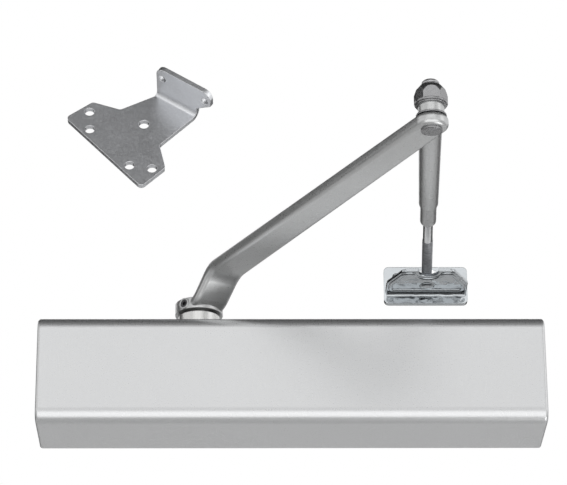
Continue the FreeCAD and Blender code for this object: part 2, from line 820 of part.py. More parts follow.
def make_piston():
    """Piston with a window for the pinion, and rack teeth along the window's front side."""
    left = ("spindle_x - piston_left", "axis_y", "0")
    blank = cylinder("piston_blank", "piston_radius", "piston_length", left, "x")
    body = new_body("rack_window")
    count = int(val("rack_spaces"))
    back = "gear_tip + window_margin"
    corners = [("-window_left", back), ("-window_left", "-rack_tip_y")]
    for k in range(count):
        middle = f"({k + 2 - count} * rack_pitch)"
        half_tip = "(rack_pitch / 4 + rack_backlash / 2 + rack_addendum * tan(gear_pressure_angle))"
        half_root = "(rack_pitch / 4 + rack_backlash / 2 - rack_dedendum * tan(gear_pressure_angle))"
        corners += [
            (f"{middle} - {half_tip}", "-rack_tip_y"),
            (f"{middle} - {half_root}", "-rack_root_y"),
            (f"{middle} + {half_root}", "-rack_root_y"),
            (f"{middle} + {half_tip}", "-rack_tip_y"),
        ]
    corners += [("window_right", "-rack_tip_y"), ("window_right", back)]
    pad(body, outline(body, "XY_Plane", [corners]), "4 * bore_radius", symmetric=True)
    place(body, ("spindle_x", "axis_y", "0"))
    port = cylinder("check_port", "check_port_radius", "piston_head", left, "x")
    pocket = cylinder("check_pocket", "check_hole_radius", "piston_head - valve_web", left, "x")
    node("piston", cut("piston", blank, [body, port, pocket]))

    seat = [
        ("check_port_radius", "0"),
        ("check_hole_radius - thread_clearance", "0"),
        ("check_hole_radius - thread_clearance", "check_seat_length"),
        ("check_ball_radius", "check_seat_length"),
        ("check_port_radius", "check_seat_length - check_ball_radius + check_port_radius"),
    ]
    node("check_valve_seat", turned("check_seat", seat, left, "x"))
    rest = "sqrt(2) * check_ball_radius + check_ball_gap"
    middle = f"spindle_x - piston_left + check_seat_length - check_ball_radius + {rest}"
    ball = doc.addObject("Part::Sphere", "ball")
    bind(ball, Radius="check_ball_radius")
    node("check_ball", place(ball, (middle, "axis_y", "0")))


def make_spring():
    """Compression spring: half turns in leaning planes, tangent to each other, with closed ends."""
    radius = val("coil_radius")
    wire = val("wire_radius")
    closed = [val("wire_radius + spring_end_gap")] * 2
    free = val("spring_length") - 2 * wire - 2 * sum(closed)
    halves = 2 * int(val("active_turns"))
    height = wire
    step = 2 * math.pi / val("wire_sides")
    corners = []
    for k in range(int(val("wire_sides")) + 1):
        x = radius + wire * math.cos(k * step)
        corners.append(FreeCAD.Vector(x, 0, height + wire * math.sin(k * step)))
    section = Part.Face(Part.makePolygon(corners))
    side = 1
    faces = [section]
    for rise in closed + [free / halves] * halves + closed:
        middle = FreeCAD.Vector(0, 0, height + rise / 2)
        axis = FreeCAD.Vector(side * rise, 0, 2 * radius)
        faces += [edge.revolve(middle, axis, 180) for edge in section.OuterWire.Edges]
        section = section.copy()
        section.rotate(middle, axis, 180)
        height += rise
        side = -side
    shell = Part.makeShell(faces + [section])
    shell.sewShape()
    spring = doc.addObject("Part::Feature", "spring")
    spring.Shape = Part.makeSolid(shell)
    node("return_spring", place(spring, ("spring_left + spring_end_gap", "axis_y", "0"), "x"))


def make_power_adjuster():
    """Sliding spring seat, and the screw in the right cap that pulls it along the bore."""
    bore = "power_screw_radius + thread_clearance"
    rim = "bore_radius - seat_bore_gap"
    seat = [
        (bore, "0"),
        (rim, "0"),
        (rim, "seat_thickness"),
        ("seat_pilot_radius", "seat_thickness"),
        ("seat_pilot_radius", "seat_thickness + seat_pilot_height"),
        (bore, "seat_thickness + seat_pilot_height"),
    ]
    node("spring_seat", turned("seat", seat, ("seat_right", "axis_y", "0"), "-x"))

    reach = "seat_collar_gap + seat_thickness + seat_travel + seat_pilot_height"
    outer = "cap_thread_length + cap_spigot_length + cap_head_height + power_screw_end"
    screw = [
        ("0", "-power_collar_thickness - (" + reach + ")"),
        ("power_screw_radius", "-power_collar_thickness - (" + reach + ")"),
        ("power_screw_radius", "-power_collar_thickness"),
        ("power_collar_radius", "-power_collar_thickness"),
        ("power_collar_radius", "0"),
        ("power_screw_radius", "0"),
        ("power_screw_radius", outer),
        ("0", outer),
    ]
    stem = turned("power_stem", screw, ("cap_face", "axis_y", "0"), "x")
    at = ("cap_face + " + outer, "axis_y", "0")
    socket = hexagon("power_socket", "power_socket_width", "power_socket_depth", at, "-x")
    node("power_screw", cut("power_screw", stem, [socket]))


def make_valves():
    """Three slotted regulating screws in the underside of the body."""
    length = "valve_face - valve_bore_top - bearing_gap"
    profile = [
        ("0", "bearing_gap"),
        ("valve_head_radius", "bearing_gap"),
        ("valve_head_radius", "valve_head_height"),
        ("valve_radius", "valve_head_height"),
        ("valve_radius", length + " - valve_radius / 2"),
        ("valve_radius / 2", length),
        ("0", length),
    ]
    for label in ("closing", "latching", "backcheck"):
        stem = turned(label + "_stem", profile)
        at = ("-valve_head_radius", "-valve_slot_width / 2", "bearing_gap")
        slot = box(label + "_slot", "2 * valve_head_radius", "valve_slot_width", "valve_slot_depth", at)
        screw = cut(label + "_valve", stem, [slot])
        at = (label + "_valve_x", "axis_y", "-valve_face")
        node(label + "_valve", place(screw, at))


def make_main_arm():
    """Forged main arm: hub on the spindle square, gooseneck, tapered bar and elbow eye."""
    body = new_body("arm_bar")
    root = "arm_root_width / 2"
    tip = "arm_tip_width / 2"
    end = "arm_length + arm_tip_width / 2"
    plan = [
        ("0", "-" + root),
        ("neck_end", "-" + root),
        ("arm_length", "-" + tip),
        (end, "-" + tip),
        (end, tip),
        ("arm_length", tip),
        ("neck_end", root),
        ("0", root),
    ]
    blank = pad(body, outline(body, "XY_Plane", [plan]), "arm_top")
    end_x = val(end)
    rounded = fillet(
        body,
        blank,
        tip + " - running_clearance",
        lambda e: runs_along(e, "z") and abs(e.CenterOfMass.x - end_x) < 1e-6,
    )
    body.Tip = rounded
    below = [
        ("-hub_radius", "-hub_height"),
        (end + " + hub_radius", "-hub_height"),
        (end + " + hub_radius", "arm_under"),
        ("neck_end", "arm_under"),
        ("neck_start", "hub_bottom + bearing_gap"),
        ("-hub_radius", "hub_bottom + bearing_gap"),
    ]
    above = [
        ("-hub_radius", "hub_top - bearing_gap"),
        ("neck_start - neck_lead", "hub_top - bearing_gap"),
        ("neck_end - neck_lead", "arm_top"),
        ("neck_end - neck_lead", "arm_top + hub_height"),
        ("-hub_radius", "arm_top + hub_height"),
    ]
    shaped = pocket_through(body, outline(body, "XZ_Plane", [below, above]))
    first = val("neck_start - neck_lead") - 1e-3
    last = val("neck_end") + 1e-3

    def is_bend(edge):
        return runs_along(edge, "y") and first < edge.CenterOfMass.x < last

    bent = fillet(body, shaped, "neck_bend_radius", is_bend)
    shank = val("arm_length - neck_end") / 2

    def is_long(edge):
        return edge.Length > shank

    fillet(body, bent, "arm_edge_radius", is_long)

    hub = cylinder("arm_hub", "hub_radius", "hub_height", ("0", "0", "hub_bottom"))
    middle = "hub_bottom + hub_height / 2"
    reach = "hub_radius + set_boss_height"
    boss = place_on_hub(cylinder("set_boss", "set_boss_radius", reach), middle)
    hole = cylinder("set_hole", "set_screw_radius + thread_clearance", reach)
    hole = place_on_hub(hole, middle)
    half = "(spindle_square / 2 + square_clearance)"
    square = box("arm_square", "2 * " + half, "2 * " + half, "hub_height", square_corner(half))
    turn(square, "arm_angle")
    for axis, text in zip("xyz", square_corner(half)):
        square.setExpression("Placement.Base." + axis, ex(text))
    bolt = "elbow_bolt_radius + thread_clearance"
    elbow = cylinder("arm_elbow_hole", bolt, "arm_thickness", ("arm_length", "0", "arm_under"))
    arm = cut("main_arm", fuse("arm_blank", [body, hub, boss]), [square, elbow, hole])
    node("main_arm", on_arm(arm))


def square_corner(half):
    """Lowest corner of the hub's square hole, which lies square to the door and not to the arm."""
    x = f"-{half} * cos(arm_angle) + {half} * sin(arm_angle)"
    y = f"-{half} * sin(arm_angle) - {half} * cos(arm_angle)"
    return x, y, "hub_bottom"


def place_on_hub(obj, height):
    """Points a cylinder outwards from the spindle axis at the set screw's angle."""
    tilt = FreeCAD.Rotation(FreeCAD.Vector(0, 1, 0), 90)
    swing = FreeCAD.Rotation(FreeCAD.Vector(0, 0, 1), -val("set_screw_angle"))
    obj.Placement = FreeCAD.Placement(FreeCAD.Vector(), swing * tilt)
    obj.setExpression("Placement.Base.z", ex(height))
    return obj


def on_arm(obj):
    """Turns a piece drawn along X into the arm's direction, about the spindle axis."""
    turn(obj, "arm_angle", (0, 0, -1))
    obj.setExpression("Placement.Base.x", ex("spindle_x"))
    obj.setExpression("Placement.Base.y", ex("axis_y"))
    return obj


def make_arm_fasteners():
    """Countersunk screw and its washer on the spindle's end, and the set screw in the side of the hub."""
    at = ("spindle_x", "axis_y", "hub_top")
    bore = "arm_screw_radius + thread_clearance"
    washer = [
        (bore, "0"),
        ("arm_washer_radius", "0"),
        ("arm_washer_radius", "arm_washer_thickness"),
        (bore + " + arm_washer_thickness", "arm_washer_thickness"),
    ]
    node("arm_washer", turned("arm_washer_ring", washer, at))
    low = "spindle_top - hub_top - arm_screw_depth + bearing_gap"
    screw = [
        ("0", low),
        ("arm_screw_radius", low),
        ("arm_screw_radius", "0"),
        ("arm_screw_radius + arm_washer_thickness", "arm_washer_thickness"),
        ("0", "arm_washer_thickness"),
    ]
    stem = turned("arm_screw_stem", screw, at)
    mouth = ("spindle_x", "axis_y", "hub_top + arm_washer_thickness")
    socket = hexagon("arm_screw_socket", "arm_screw_socket_width", "arm_screw_socket_depth", mouth, "-z")
    node("arm_screw", cut("arm_screw", stem, [socket]))

    start = "spindle_square / 2 * sqrt(2)"
    length = "hub_radius + set_boss_height - bearing_gap - " + start
    grub = cylinder("set_stem", "set_screw_radius", "hub_radius + set_boss_height - bearing_gap")
    grub = place_on_hub(grub, "hub_bottom + hub_height / 2")
    core = cylinder("set_core", start, "hub_height", ("0", "0", "hub_bottom"))
    socket = hexagon("set_socket", "set_socket_width", length, ("0", "0", "0"))
    socket = place_on_hub(socket, "hub_bottom + hub_height / 2")
    out = "hub_radius + set_boss_height - set_socket_depth"
    socket.setExpression("Placement.Base.x", ex(f"({out}) * cos(set_screw_angle)"))
    socket.setExpression("Placement.Base.y", ex(f"-({out}) * sin(set_screw_angle)"))
    node("arm_set_screw", on_arm(cut("arm_set_screw", grub, [core, socket])))


def make_elbow():
    """Low-headed elbow bolt with its two washers and domed nut."""
    top = "nut_top + elbow_bolt_end"
    profile = [
        ("0", "arm_under - elbow_head_height"),
        ("elbow_head_radius - elbow_head_edge", "arm_under - elbow_head_height"),
        ("elbow_head_radius", "arm_under - elbow_head_edge"),
        ("elbow_head_radius", "arm_under"),
        ("elbow_bolt_radius", "arm_under"),
        ("elbow_bolt_radius", top + " - elbow_bolt_chamfer"),
        ("elbow_bolt_radius - elbow_bolt_chamfer", top),
        ("0", top),
    ]
    centre = ("elbow_x", "elbow_y", "0")
    node("elbow_bolt", turned("elbow_stem", profile, centre))
    bore = "elbow_bolt_radius + thread_clearance"
    rings = []
    for name, low in (("lower", "arm_top"), ("upper", "eye_top")):
        ring = [
            (bore, low),
            ("elbow_washer_radius", low),
            ("elbow_washer_radius", low + " + elbow_washer_thickness"),
            (bore, low + " + elbow_washer_thickness"),
        ]
        rings.append(turned(f"elbow_washer_{name}", ring, centre))
    node("elbow_washers", group("elbow_washers", rings))
    at = ("elbow_x", "elbow_y", "nut_bottom")
    hexes = hexagon("elbow_nut_hex", "elbow_nut_width", "elbow_nut_height", at)
    corner = "elbow_nut_width / sqrt(3) + thread_clearance"
    envelope = [
        ("0", "nut_bottom"),
        (corner, "nut_bottom"),
        (corner, "nut_bottom + elbow_nut_dome_start"),
        ("elbow_nut_shoulder_radius", "nut_bottom + elbow_nut_shoulder"),
        ("elbow_nut_top_radius", "nut_top"),
        ("0", "nut_top"),
    ]
    block = common("elbow_nut_block", hexes, turned("elbow_nut_envelope", envelope, centre))
    flange = cylinder("elbow_nut_flange", "elbow_nut_flange_radius", "elbow_nut_flange_height", at)
    hole = cylinder("elbow_nut_hole", bore, "elbow_nut_height", at)
    node("elbow_nut", cut("elbow_nut", fuse("elbow_nut_blank", [block, flange]), [hole]))


def make_forearm():
    """Forearm: eye on the elbow bolt, tapered sleeve with a nose, and its lock screw."""
    level = ("0", "0", "forearm_height")
    profile = [
        ("0", "sleeve_start"),
        ("sleeve_root_radius - sleeve_dome", "sleeve_start"),
        ("sleeve_root_radius", "sleeve_start + sleeve_dome"),
        ("sleeve_step_radius", "sleeve_step"),
        ("nose_radius", "sleeve_step + sleeve_step_length"),
        ("nose_radius", "sleeve_end - nose_round"),
        ("nose_radius - nose_round / 2", "sleeve_end"),
        ("0", "sleeve_end"),
    ]
    sleeve = turned("sleeve", profile, level, "x")
    eye = cylinder("forearm_eye", "eye_radius", "eye_thickness", ("0", "0", "eye_bottom"))
    web_end = "sleeve_start + sleeve_dome + sleeve_root_radius"
    web = box(
        "forearm_web", web_end, "neck_web_width", "eye_thickness", ("0", "-neck_web_width / 2", "eye_bottom")
    )
    at = ("sleeve_end - lock_screw_inset", "0", "forearm_height")
    boss = cylinder("lock_boss", "lock_boss_radius", "nose_radius + lock_boss_height", at)
    bolt = "elbow_bolt_radius + running_clearance"
    hole = cylinder("forearm_hole", bolt, "eye_thickness", ("0", "0", "eye_bottom"))
    at_bore = ("sleeve_bore_end", "0", "forearm_height")
    bore = cylinder("forearm_bore", "rod_bore_radius", "sleeve_end - sleeve_bore_end", at_bore, "x")
    wide = "lock_screw_radius + thread_clearance"
    tapped = cylinder("lock_hole", wide, "nose_radius + lock_boss_height", at)
    blank = fuse("forearm_blank", [sleeve, eye, web, boss])
    node("forearm_sleeve", on_forearm(cut("forearm", blank, [hole, bore, tapped])))

    start = "rod_radius + rod_clearance"
    low = ("sleeve_end - lock_screw_inset", "0", "forearm_height + " + start)
    length = "nose_radius + lock_boss_height - rod_radius - rod_clearance"
    stem = cylinder("lock_stem", "lock_screw_radius", length, low)
    mouth = ("sleeve_end - lock_screw_inset", "0", "forearm_height + nose_radius")
    socket = hexagon("lock_socket", "lock_socket_width", "lock_boss_height", mouth)
    node("forearm_lock_screw", on_forearm(cut("lock_screw", stem, [socket])))


def on_forearm(obj):
    """Turns a piece drawn along X into the forearm's direction, about the elbow axis."""
    turn(obj, "forearm_angle")
    obj.setExpression("Placement.Base.x", ex("elbow_x"))
    obj.setExpression("Placement.Base.y", ex("elbow_y"))
    return obj


def make_rod():
    """Adjusting rod with an eye at the shoe."""
    start = "sleeve_end - rod_engagement"
    length = "forearm_length - (" + start + ")"
    rod = cylinder("rod_bar", "rod_radius", length, (start, "0", "forearm_height"), "x")
    low = ("forearm_length", "0", "forearm_height - rod_eye_half")
    eye = cylinder("rod_eye", "rod_eye_radius", "2 * rod_eye_half", low)
    hole = cylinder("rod_hole", "rivet_radius + rod_clearance", "2 * rod_eye_half", low)
    node("adjusting_rod", on_forearm(cut("rod", fuse("rod_blank", [rod, eye]), [hole])))


def make_shoe():
    """Frame shoe: base plate on the frame, a tongue under the rod's eye, and two screw holes above it."""
    body = new_body("shoe_base")
    half = "shoe_width / 2"
    low = "forearm_height - shoe_height / 2"
    high = "forearm_height + shoe_height / 2"
    corners = [("-" + half, low), (half, low), (half, high), ("-" + half, high)]
    plate = pad(body, outline(body, "XZ_Plane", [corners]), "shoe_base_thickness")
    fillet(body, plate, "shoe_corner_radius", lambda e: runs_along(e, "y"))
    place(body, ("pivot_x", "0", "0"))
    holes = []
    for side, sign in (("left", "-"), ("right", "+")):
        x = f"pivot_x {sign} shoe_hole_spacing / 2"
        front = (x, "-shoe_base_thickness", "forearm_height + shoe_hole_rise")
        holes.append(cylinder("shoe_hole_" + side, "shoe_hole_radius", "shoe_base_thickness", front, "y"))
    at = ("pivot_x", "pivot_y", "tongue_bottom")
    holes.append(cylinder("rivet_hole", "rivet_radius + thread_clearance", "shoe_tongue_thickness", at))
    solids = [body, make_tongue(), make_tongue_root()]
    node("shoe", cut("shoe", fuse("shoe_blank", solids), holes))

    top = "forearm_height + rod_eye_half + shoe_tongue_gap"
    profile = [
        ("0", "tongue_bottom - rivet_head_height"),
        ("rivet_head_radius - rivet_head_height", "tongue_bottom - rivet_head_height"),
        ("rivet_head_radius", "tongue_bottom"),
        ("rivet_radius", "tongue_bottom"),
        ("rivet_radius", top),
        ("rivet_head_radius", top),
        ("rivet_head_radius - rivet_head_height", top + " + rivet_head_height"),
        ("0", top + " + rivet_head_height"),
    ]
    node("shoe_rivet", turned("rivet", profile, ("pivot_x", "pivot_y", "0")))


def make_tongue():
    """The shoe's tongue: straight beside the rivet, narrower in front, notched, with a rounded lower edge."""
    body = new_body("tongue_plate")
    root = "shoe_tongue_root_width / 2"
    tip = "shoe_tongue_tip_width / 2"
    corners = [
        ("-" + root, "-shoe_base_thickness"),
        ("-" + root, "-shoe_tongue_taper"),
        ("-" + tip, "-shoe_tongue_depth"),
        (tip, "-shoe_tongue_depth"),
        (root, "-shoe_tongue_taper"),
        (root, "-shoe_base_thickness"),
    ]
    plate = pad(body, outline(body, "XY_Plane", [corners]), "shoe_tongue_thickness")
    back = -val("shoe_base_thickness") - 1e-6

    def is_corner(edge):
        return runs_along(edge, "z") and edge.CenterOfMass.y < back

    def is_low(edge):
        return abs(edge.CenterOfMass.z) < 1e-6 and edge.CenterOfMass.y < back

    rounded = fillet(body, plate, "shoe_tongue_radius", is_corner)
    fillet(body, rounded, "shoe_edge_radius", is_low)
    inset = "shoe_notch_depth - shoe_notch_radius"
    middle = ("0", inset + " - shoe_tongue_depth", "0")
    notch = cylinder("tongue_notch", "shoe_notch_radius", "shoe_tongue_thickness", middle)
    at = ("-shoe_notch_radius", "-shoe_tongue_depth", "0")
    mouth = box("tongue_mouth", "2 * shoe_notch_radius", inset, "shoe_tongue_thickness", at)
    return place(cut("tongue", body, [notch, mouth]), ("pivot_x", "0", "tongue_bottom"))


def make_tongue_root():
    """The hollow rounding between the base plate and the underside of the tongue."""
    width = "shoe_tongue_root_width - 2 * shoe_edge_radius"
    at = (
        f"pivot_x - ({width}) / 2",
        "-shoe_base_thickness - shoe_root_radius",
        "tongue_bottom - shoe_root_radius",
    )
    strip = box("root_strip", width, "shoe_root_radius", "shoe_root_radius", at)
    hollow = cylinder("root_hollow", "shoe_root_radius", width, at, "x")
    return cut("tongue_root", strip, [hollow])


def make_bracket():
    """Loose bracket: T-shaped plate with a bent-up flange, five plate holes and two flange holes."""
    body = new_body("bracket_plate")
    front = "(bracket_fold - bend_outer * cos(bracket_fold_angle))"
    shift = "bend_outer * sin(bracket_fold_angle)"
    skew = "flange_root * sin(bracket_fold_angle)"
    sides = [
        ("-bracket_back", "bracket_back_half_width"),
        ("-bracket_side", "bracket_side_half_width"),
        ("-bracket_neck", "bracket_neck_half_width"),
    ]
    fold = [
        (f"{front} - {skew}", f"bracket_fold_half_width - {shift}"),
        (f"{front} + {skew}", f"-bracket_fold_half_width - {shift}"),
    ]
    mirrored = [(x, "-" + y) for x, y in reversed(sides)]
    plate = pad(body, outline(body, "XY_Plane", [sides + fold + mirrored]), "bracket_plate")
    fold_x = val(f"{front} - {skew}") - 1e-3
    fillet(
        body,
        plate,
        "bracket_corner_radius",
        lambda e: runs_along(e, "z") and e.CenterOfMass.x < fold_x,
    )
    flange = make_flange()
    holes = []
    for name, back, spacing in (
        ("outer", "-bracket_outer_hole", "bracket_outer_hole_spacing"),
        ("inner", "-bracket_inner_hole", "bracket_inner_hole_spacing"),
    ):
        for side, sign in (("left", ""), ("right", "-")):
            at = (back, sign + spacing + " / 2", "0")
            holes.append(cylinder(f"bracket_{name}_{side}", "bracket_hole_radius", "bracket_plate", at))
    holes.append(cylinder("bracket_centre", "bracket_centre_hole_radius", "bracket_plate"))
    bracket = cut("bracket", fuse("bracket_blank", [body, flange]), holes)
    lean = FreeCAD.Rotation(FreeCAD.Vector(1, 0, 0), 90 - val("bracket_lean"))
    swing = FreeCAD.Rotation(FreeCAD.Vector(0, 0, 1), val("bracket_turn"))
    bracket.Placement = FreeCAD.Placement(FreeCAD.Vector(), lean * swing)
    bracket.setExpression("Placement.Base.x", ex("bracket_x"))
    bracket.setExpression("Placement.Base.z", ex("bracket_z"))
    node("parallel_arm_bracket", bracket)


def make_flange():
    """The bracket's bend and its flange, on the slanting fold and reaching further to one side."""
    body = new_body("bracket_flange")
    corners = [
        ("-flange_root", "bend_outer"),
        ("-flange_root", "bracket_flange_root"),
        ("-bracket_flange_reach", "2 * bracket_flange_root"),
        ("-bracket_flange_reach", "bracket_flange_height"),
        ("flange_root", "bracket_flange_height"),
        ("flange_root", "bend_outer"),
    ]
    plate = pad(body, outline(body, "YZ_Plane", [corners]), "bracket_plate")
    top = val("bracket_flange_height")
    fillet(
        body,
        plate,
        "bracket_flange_radius",
        lambda e: runs_along(e, "x") and abs(e.CenterOfMass.z - top) < 1e-6,
    )
    at = ("-bracket_bend_radius", "-flange_root", "bend_outer")
    outside = cylinder("bend_outside", "bend_outer", "2 * flange_root", at, "y")
    outside.Angle = 90
    inside = cylinder("bend_inside", "bracket_bend_radius", "2 * flange_root", at, "y")
    bend = cut("bracket_bend", outside, [inside])
    holes = []
    for side, sign in (("left", "+"), ("right", "-")):
        middle = f"flange_middle {sign} bracket_flange_hole_spacing / 2"
        at = ("0", middle, "bracket_flange_hole_height")
        holes.append(cylinder("flange_hole_" + side, "bracket_flange_hole_radius", "bracket_plate", at, "x"))
    flange = turn(cut("flange", fuse("flange_blank", [body, bend]), holes), "bracket_fold_angle")
    flange.setExpression("Placement.Base.x", ex("bracket_fold - bracket_plate * cos(bracket_fold_angle)"))
    flange.setExpression("Placement.Base.y", ex("-bracket_plate * sin(bracket_fold_angle)"))
    return flange


def write_nodes():
    """Checks every object and piece, then writes one STEP file for each piece."""
    doc.recompute()
    for obj in doc.Objects:
        if {"Invalid", "Error"} & set(obj.State):
            raise RuntimeError(f"{obj.Name} failed: {obj.State}")
    for obj in nodes:
        if obj.Shape.isNull() or not obj.Shape.isValid():
            raise RuntimeError(f"{obj.Label} has no valid shape")
    os.makedirs("parts", exist_ok=True)
    for obj in nodes:
        obj.Shape.exportStep(f"parts/{obj.Label}.step")


make_housing()
make_cover()
make_cover_screws()
make_end_caps()
make_bearings()
make_spindle()
make_piston()
make_spring()
make_power_adjuster()
make_valves()
make_main_arm()
make_arm_fasteners()
make_elbow()
make_forearm()
make_rod()
make_shoe()
make_bracket()
write_nodes()
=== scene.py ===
import json
import math

import bpy
import numpy as np
from mathutils import Matrix, Vector


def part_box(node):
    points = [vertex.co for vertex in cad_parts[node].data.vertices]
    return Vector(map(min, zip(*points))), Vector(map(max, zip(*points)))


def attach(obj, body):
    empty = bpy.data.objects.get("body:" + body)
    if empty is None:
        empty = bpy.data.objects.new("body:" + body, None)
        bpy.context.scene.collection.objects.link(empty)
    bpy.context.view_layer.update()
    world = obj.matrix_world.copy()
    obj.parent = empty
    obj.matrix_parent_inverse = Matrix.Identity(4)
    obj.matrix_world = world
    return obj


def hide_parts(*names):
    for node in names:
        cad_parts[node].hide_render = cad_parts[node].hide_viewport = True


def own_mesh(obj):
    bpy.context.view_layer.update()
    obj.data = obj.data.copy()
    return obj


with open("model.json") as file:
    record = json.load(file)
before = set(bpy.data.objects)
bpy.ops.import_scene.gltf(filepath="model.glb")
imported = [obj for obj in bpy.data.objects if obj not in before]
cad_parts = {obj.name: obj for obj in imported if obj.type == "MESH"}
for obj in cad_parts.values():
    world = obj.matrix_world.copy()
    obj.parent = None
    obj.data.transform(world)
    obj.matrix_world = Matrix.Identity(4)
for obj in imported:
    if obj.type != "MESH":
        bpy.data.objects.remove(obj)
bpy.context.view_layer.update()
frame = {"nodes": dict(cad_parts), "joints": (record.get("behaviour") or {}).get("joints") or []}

bl_info = {
    "name": "Surface door closer",
    "version": (1, 0, 0),
    "blender": (4, 5, 0),
    "location": "View3D > Sidebar > Closer",
    "description": "Finishes, threads, spring, bead and studio for a surface door closer",
    "category": "Object",
}

# Edges: cosines between rounded and flat normal, from a full edge to none
BEVEL_SAMPLES = 6
EDGE_COSINES = (0.7, 0.98)

# Ripples of polished sheet, in waves per metre
RIPPLE_SCALE = 110.0
RIPPLE_BEND = 0.6

# Grain: how much of the lighter speckles shows, and how far the roughness swings
SPECKLE_SHARE = 0.35
SPECKLE_NOISE = (0.45, 0.75)
ROUGHNESS_SWING = 0.06
LEAST_ROUGHNESS = 0.02

# Tints of the lighter edges, which are partly rubbing and partly a painted highlight, of oil and of
# bloom
WEAR_AND_HIGHLIGHT_TINT = 1.5
OILY_TINT = 0.55
RUBBER_BLOOM = 0.05

# Scale of the oily streaks across a thread's axis, to which 1 is added along it
STREAK_DRAW = 0.35

# Radii of the threads, as shares of the plain cylinder's radius
THREAD_CORE = 0.9
ROD_ROOT, ROD_CREST = 1.006, 1.075
BOLT_ROOT, BOLT_CREST = 1.004, 1.05
BOLT_RIM = 0.999

# Threads: the power that rounds their crests, and the fewest rows along them
CREST_POWER = 0.8
LEAST_STEPS = 8

# Axes whose upright part is at least this are taken as steep
STEEP = 0.9

# Return spring: its closed turns, and the share of its rings in its first length
CLOSED_TURNS = 2
PISTON_SHARE = 0.68

# Studio floor and cards. A card has its centre, its two half sides and its grey.
CARD_ROUGHNESS = 0.9
FLOOR_REACH = 8.0
FLOOR_GREY = 0.93
CARDS = {
    "ceiling_card": ((0.0, 0.4, 1.5), (1.6, 0.0, 0.0), (0.0, 1.1, 0.0), 0.1),
    "front_card": ((0.0, -1.4, 1.5), (1.6, 0.0, 0.0), (0.0, 0.7, 0.0), 0.32),
    "left_card": ((-1.5, 0.75, 0.5), (0.0, 0.55, 0.0), (0.0, 0.0, 1.1), 0.03),
    "low_card": ((0.0, 1.6, -0.9), (2.0, 0.0, 0.0), (0.0, 0.0, 0.8), 0.95),
    "back_card": ((0.0, 1.6, 0.3), (2.0, 0.0, 0.0), (0.0, 0.0, 0.4), 0.03),
}

# Studio lamps, with their place, width and height, and watts
LAMP_TARGET = (0.0, -0.1, 0.05)
LAMPS = {
    "front_lamp": ((-0.2, -2.2, 1.1), (2.2, 1.0), 3.5),
    "low_lamp": ((0.0, -1.25, -1.05), (2.6, 1.5), 15.5),
    "side_lamp": ((1.9, -0.9, 0.5), (0.8, 1.4), 2.5),
    "under_lamp": ((0.75, -0.05, -1.25), (0.6, 0.6), 4.0),
}


class CloserFinishes(bpy.types.PropertyGroup):
    """Colours and roughness of the closer's finishes."""

    cover_colour: bpy.props.FloatVectorProperty(
        name="Cover silver",
        description="Satin silver lacquer on the pressed cover",
        subtype="COLOR",
        default=(0.575, 0.58, 0.585),
        min=0.0,
        max=1.0,
    )
    cover_roughness: bpy.props.FloatProperty(
        name="Cover roughness",
        description="How dull the lacquer on the cover is",
        subtype="FACTOR",
        default=0.32,
        min=0.0,
        max=1.0,
    )
    arm_colour: bpy.props.FloatVectorProperty(
        name="Arm silver",
        description="Satin silver lacquer on the main arm and the forearm",
        subtype="COLOR",
        default=(0.52, 0.525, 0.525),
        min=0.0,
        max=1.0,
    )
    arm_roughness: bpy.props.FloatProperty(
        name="Arm roughness",
        description="How dull the lacquer on the arms is",
        subtype="FACTOR",
        default=0.32,
        min=0.0,
        max=1.0,
    )
    bright_colour: bpy.props.FloatVectorProperty(
        name="Bright zinc",
        description="Bright zinc plate on the adjusting rod",
        subtype="COLOR",
        default=(0.82, 0.83, 0.84),
        min=0.0,
        max=1.0,
    )
    shoe_colour: bpy.props.FloatVectorProperty(
        name="Shoe zinc",
        description="Polished zinc plate on the pressed frame shoe",
        subtype="COLOR",
        default=(0.43, 0.45, 0.465),
        min=0.0,
        max=1.0,
    )
    plate_colour: bpy.props.FloatVectorProperty(
        name="Dull zinc",
        description="Dull zinc plate on the loose bracket",
        subtype="COLOR",
        default=(0.68, 0.69, 0.71),
        min=0.0,
        max=1.0,
    )
    steel_colour: bpy.props.FloatVectorProperty(
        name="Turned steel",
        description="Turned and ground steel of caps, bearings, piston and screws",
        subtype="COLOR",
        default=(0.62, 0.62, 0.61),
        min=0.0,
        max=1.0,
    )
    dark_colour: bpy.props.FloatVectorProperty(
        name="Blackened steel",
        description="Blackened steel of the set screws and the return spring",
        subtype="COLOR",
        default=(0.1, 0.1, 0.105),
        min=0.0,
        max=1.0,
    )
    elbow_colour: bpy.props.FloatVectorProperty(
        name="Elbow steel",
        description="Dull plated steel of the elbow's bolt, nut and washers",
        subtype="COLOR",
        default=(0.28, 0.28, 0.285),
        min=0.0,
        max=1.0,
    )
    cast_colour: bpy.props.FloatVectorProperty(
        name="Cast aluminium",
        description="As-cast skin of the closer's body",
        subtype="COLOR",
        default=(0.55, 0.56, 0.57),
        min=0.0,
        max=1.0,
    )
    brass_colour: bpy.props.FloatVectorProperty(
        name="Brass",
        description="Turned brass of the valves and the check valve's seat",
        subtype="COLOR",
        default=(0.72, 0.53, 0.24),
        min=0.0,
        max=1.0,
    )
    rubber_colour: bpy.props.FloatVectorProperty(
        name="Rubber",
        description="Moulded rubber of the seals",
        subtype="COLOR",
        default=(0.03, 0.03, 0.03),
        min=0.0,
        max=1.0,
    )
    edge_radius: bpy.props.FloatProperty(
        name="Edge softness",
        description="Radius over which sharp edges catch the light",
        unit="LENGTH",
        default=0.0005,
        min=0.0,
        precision=5,
    )


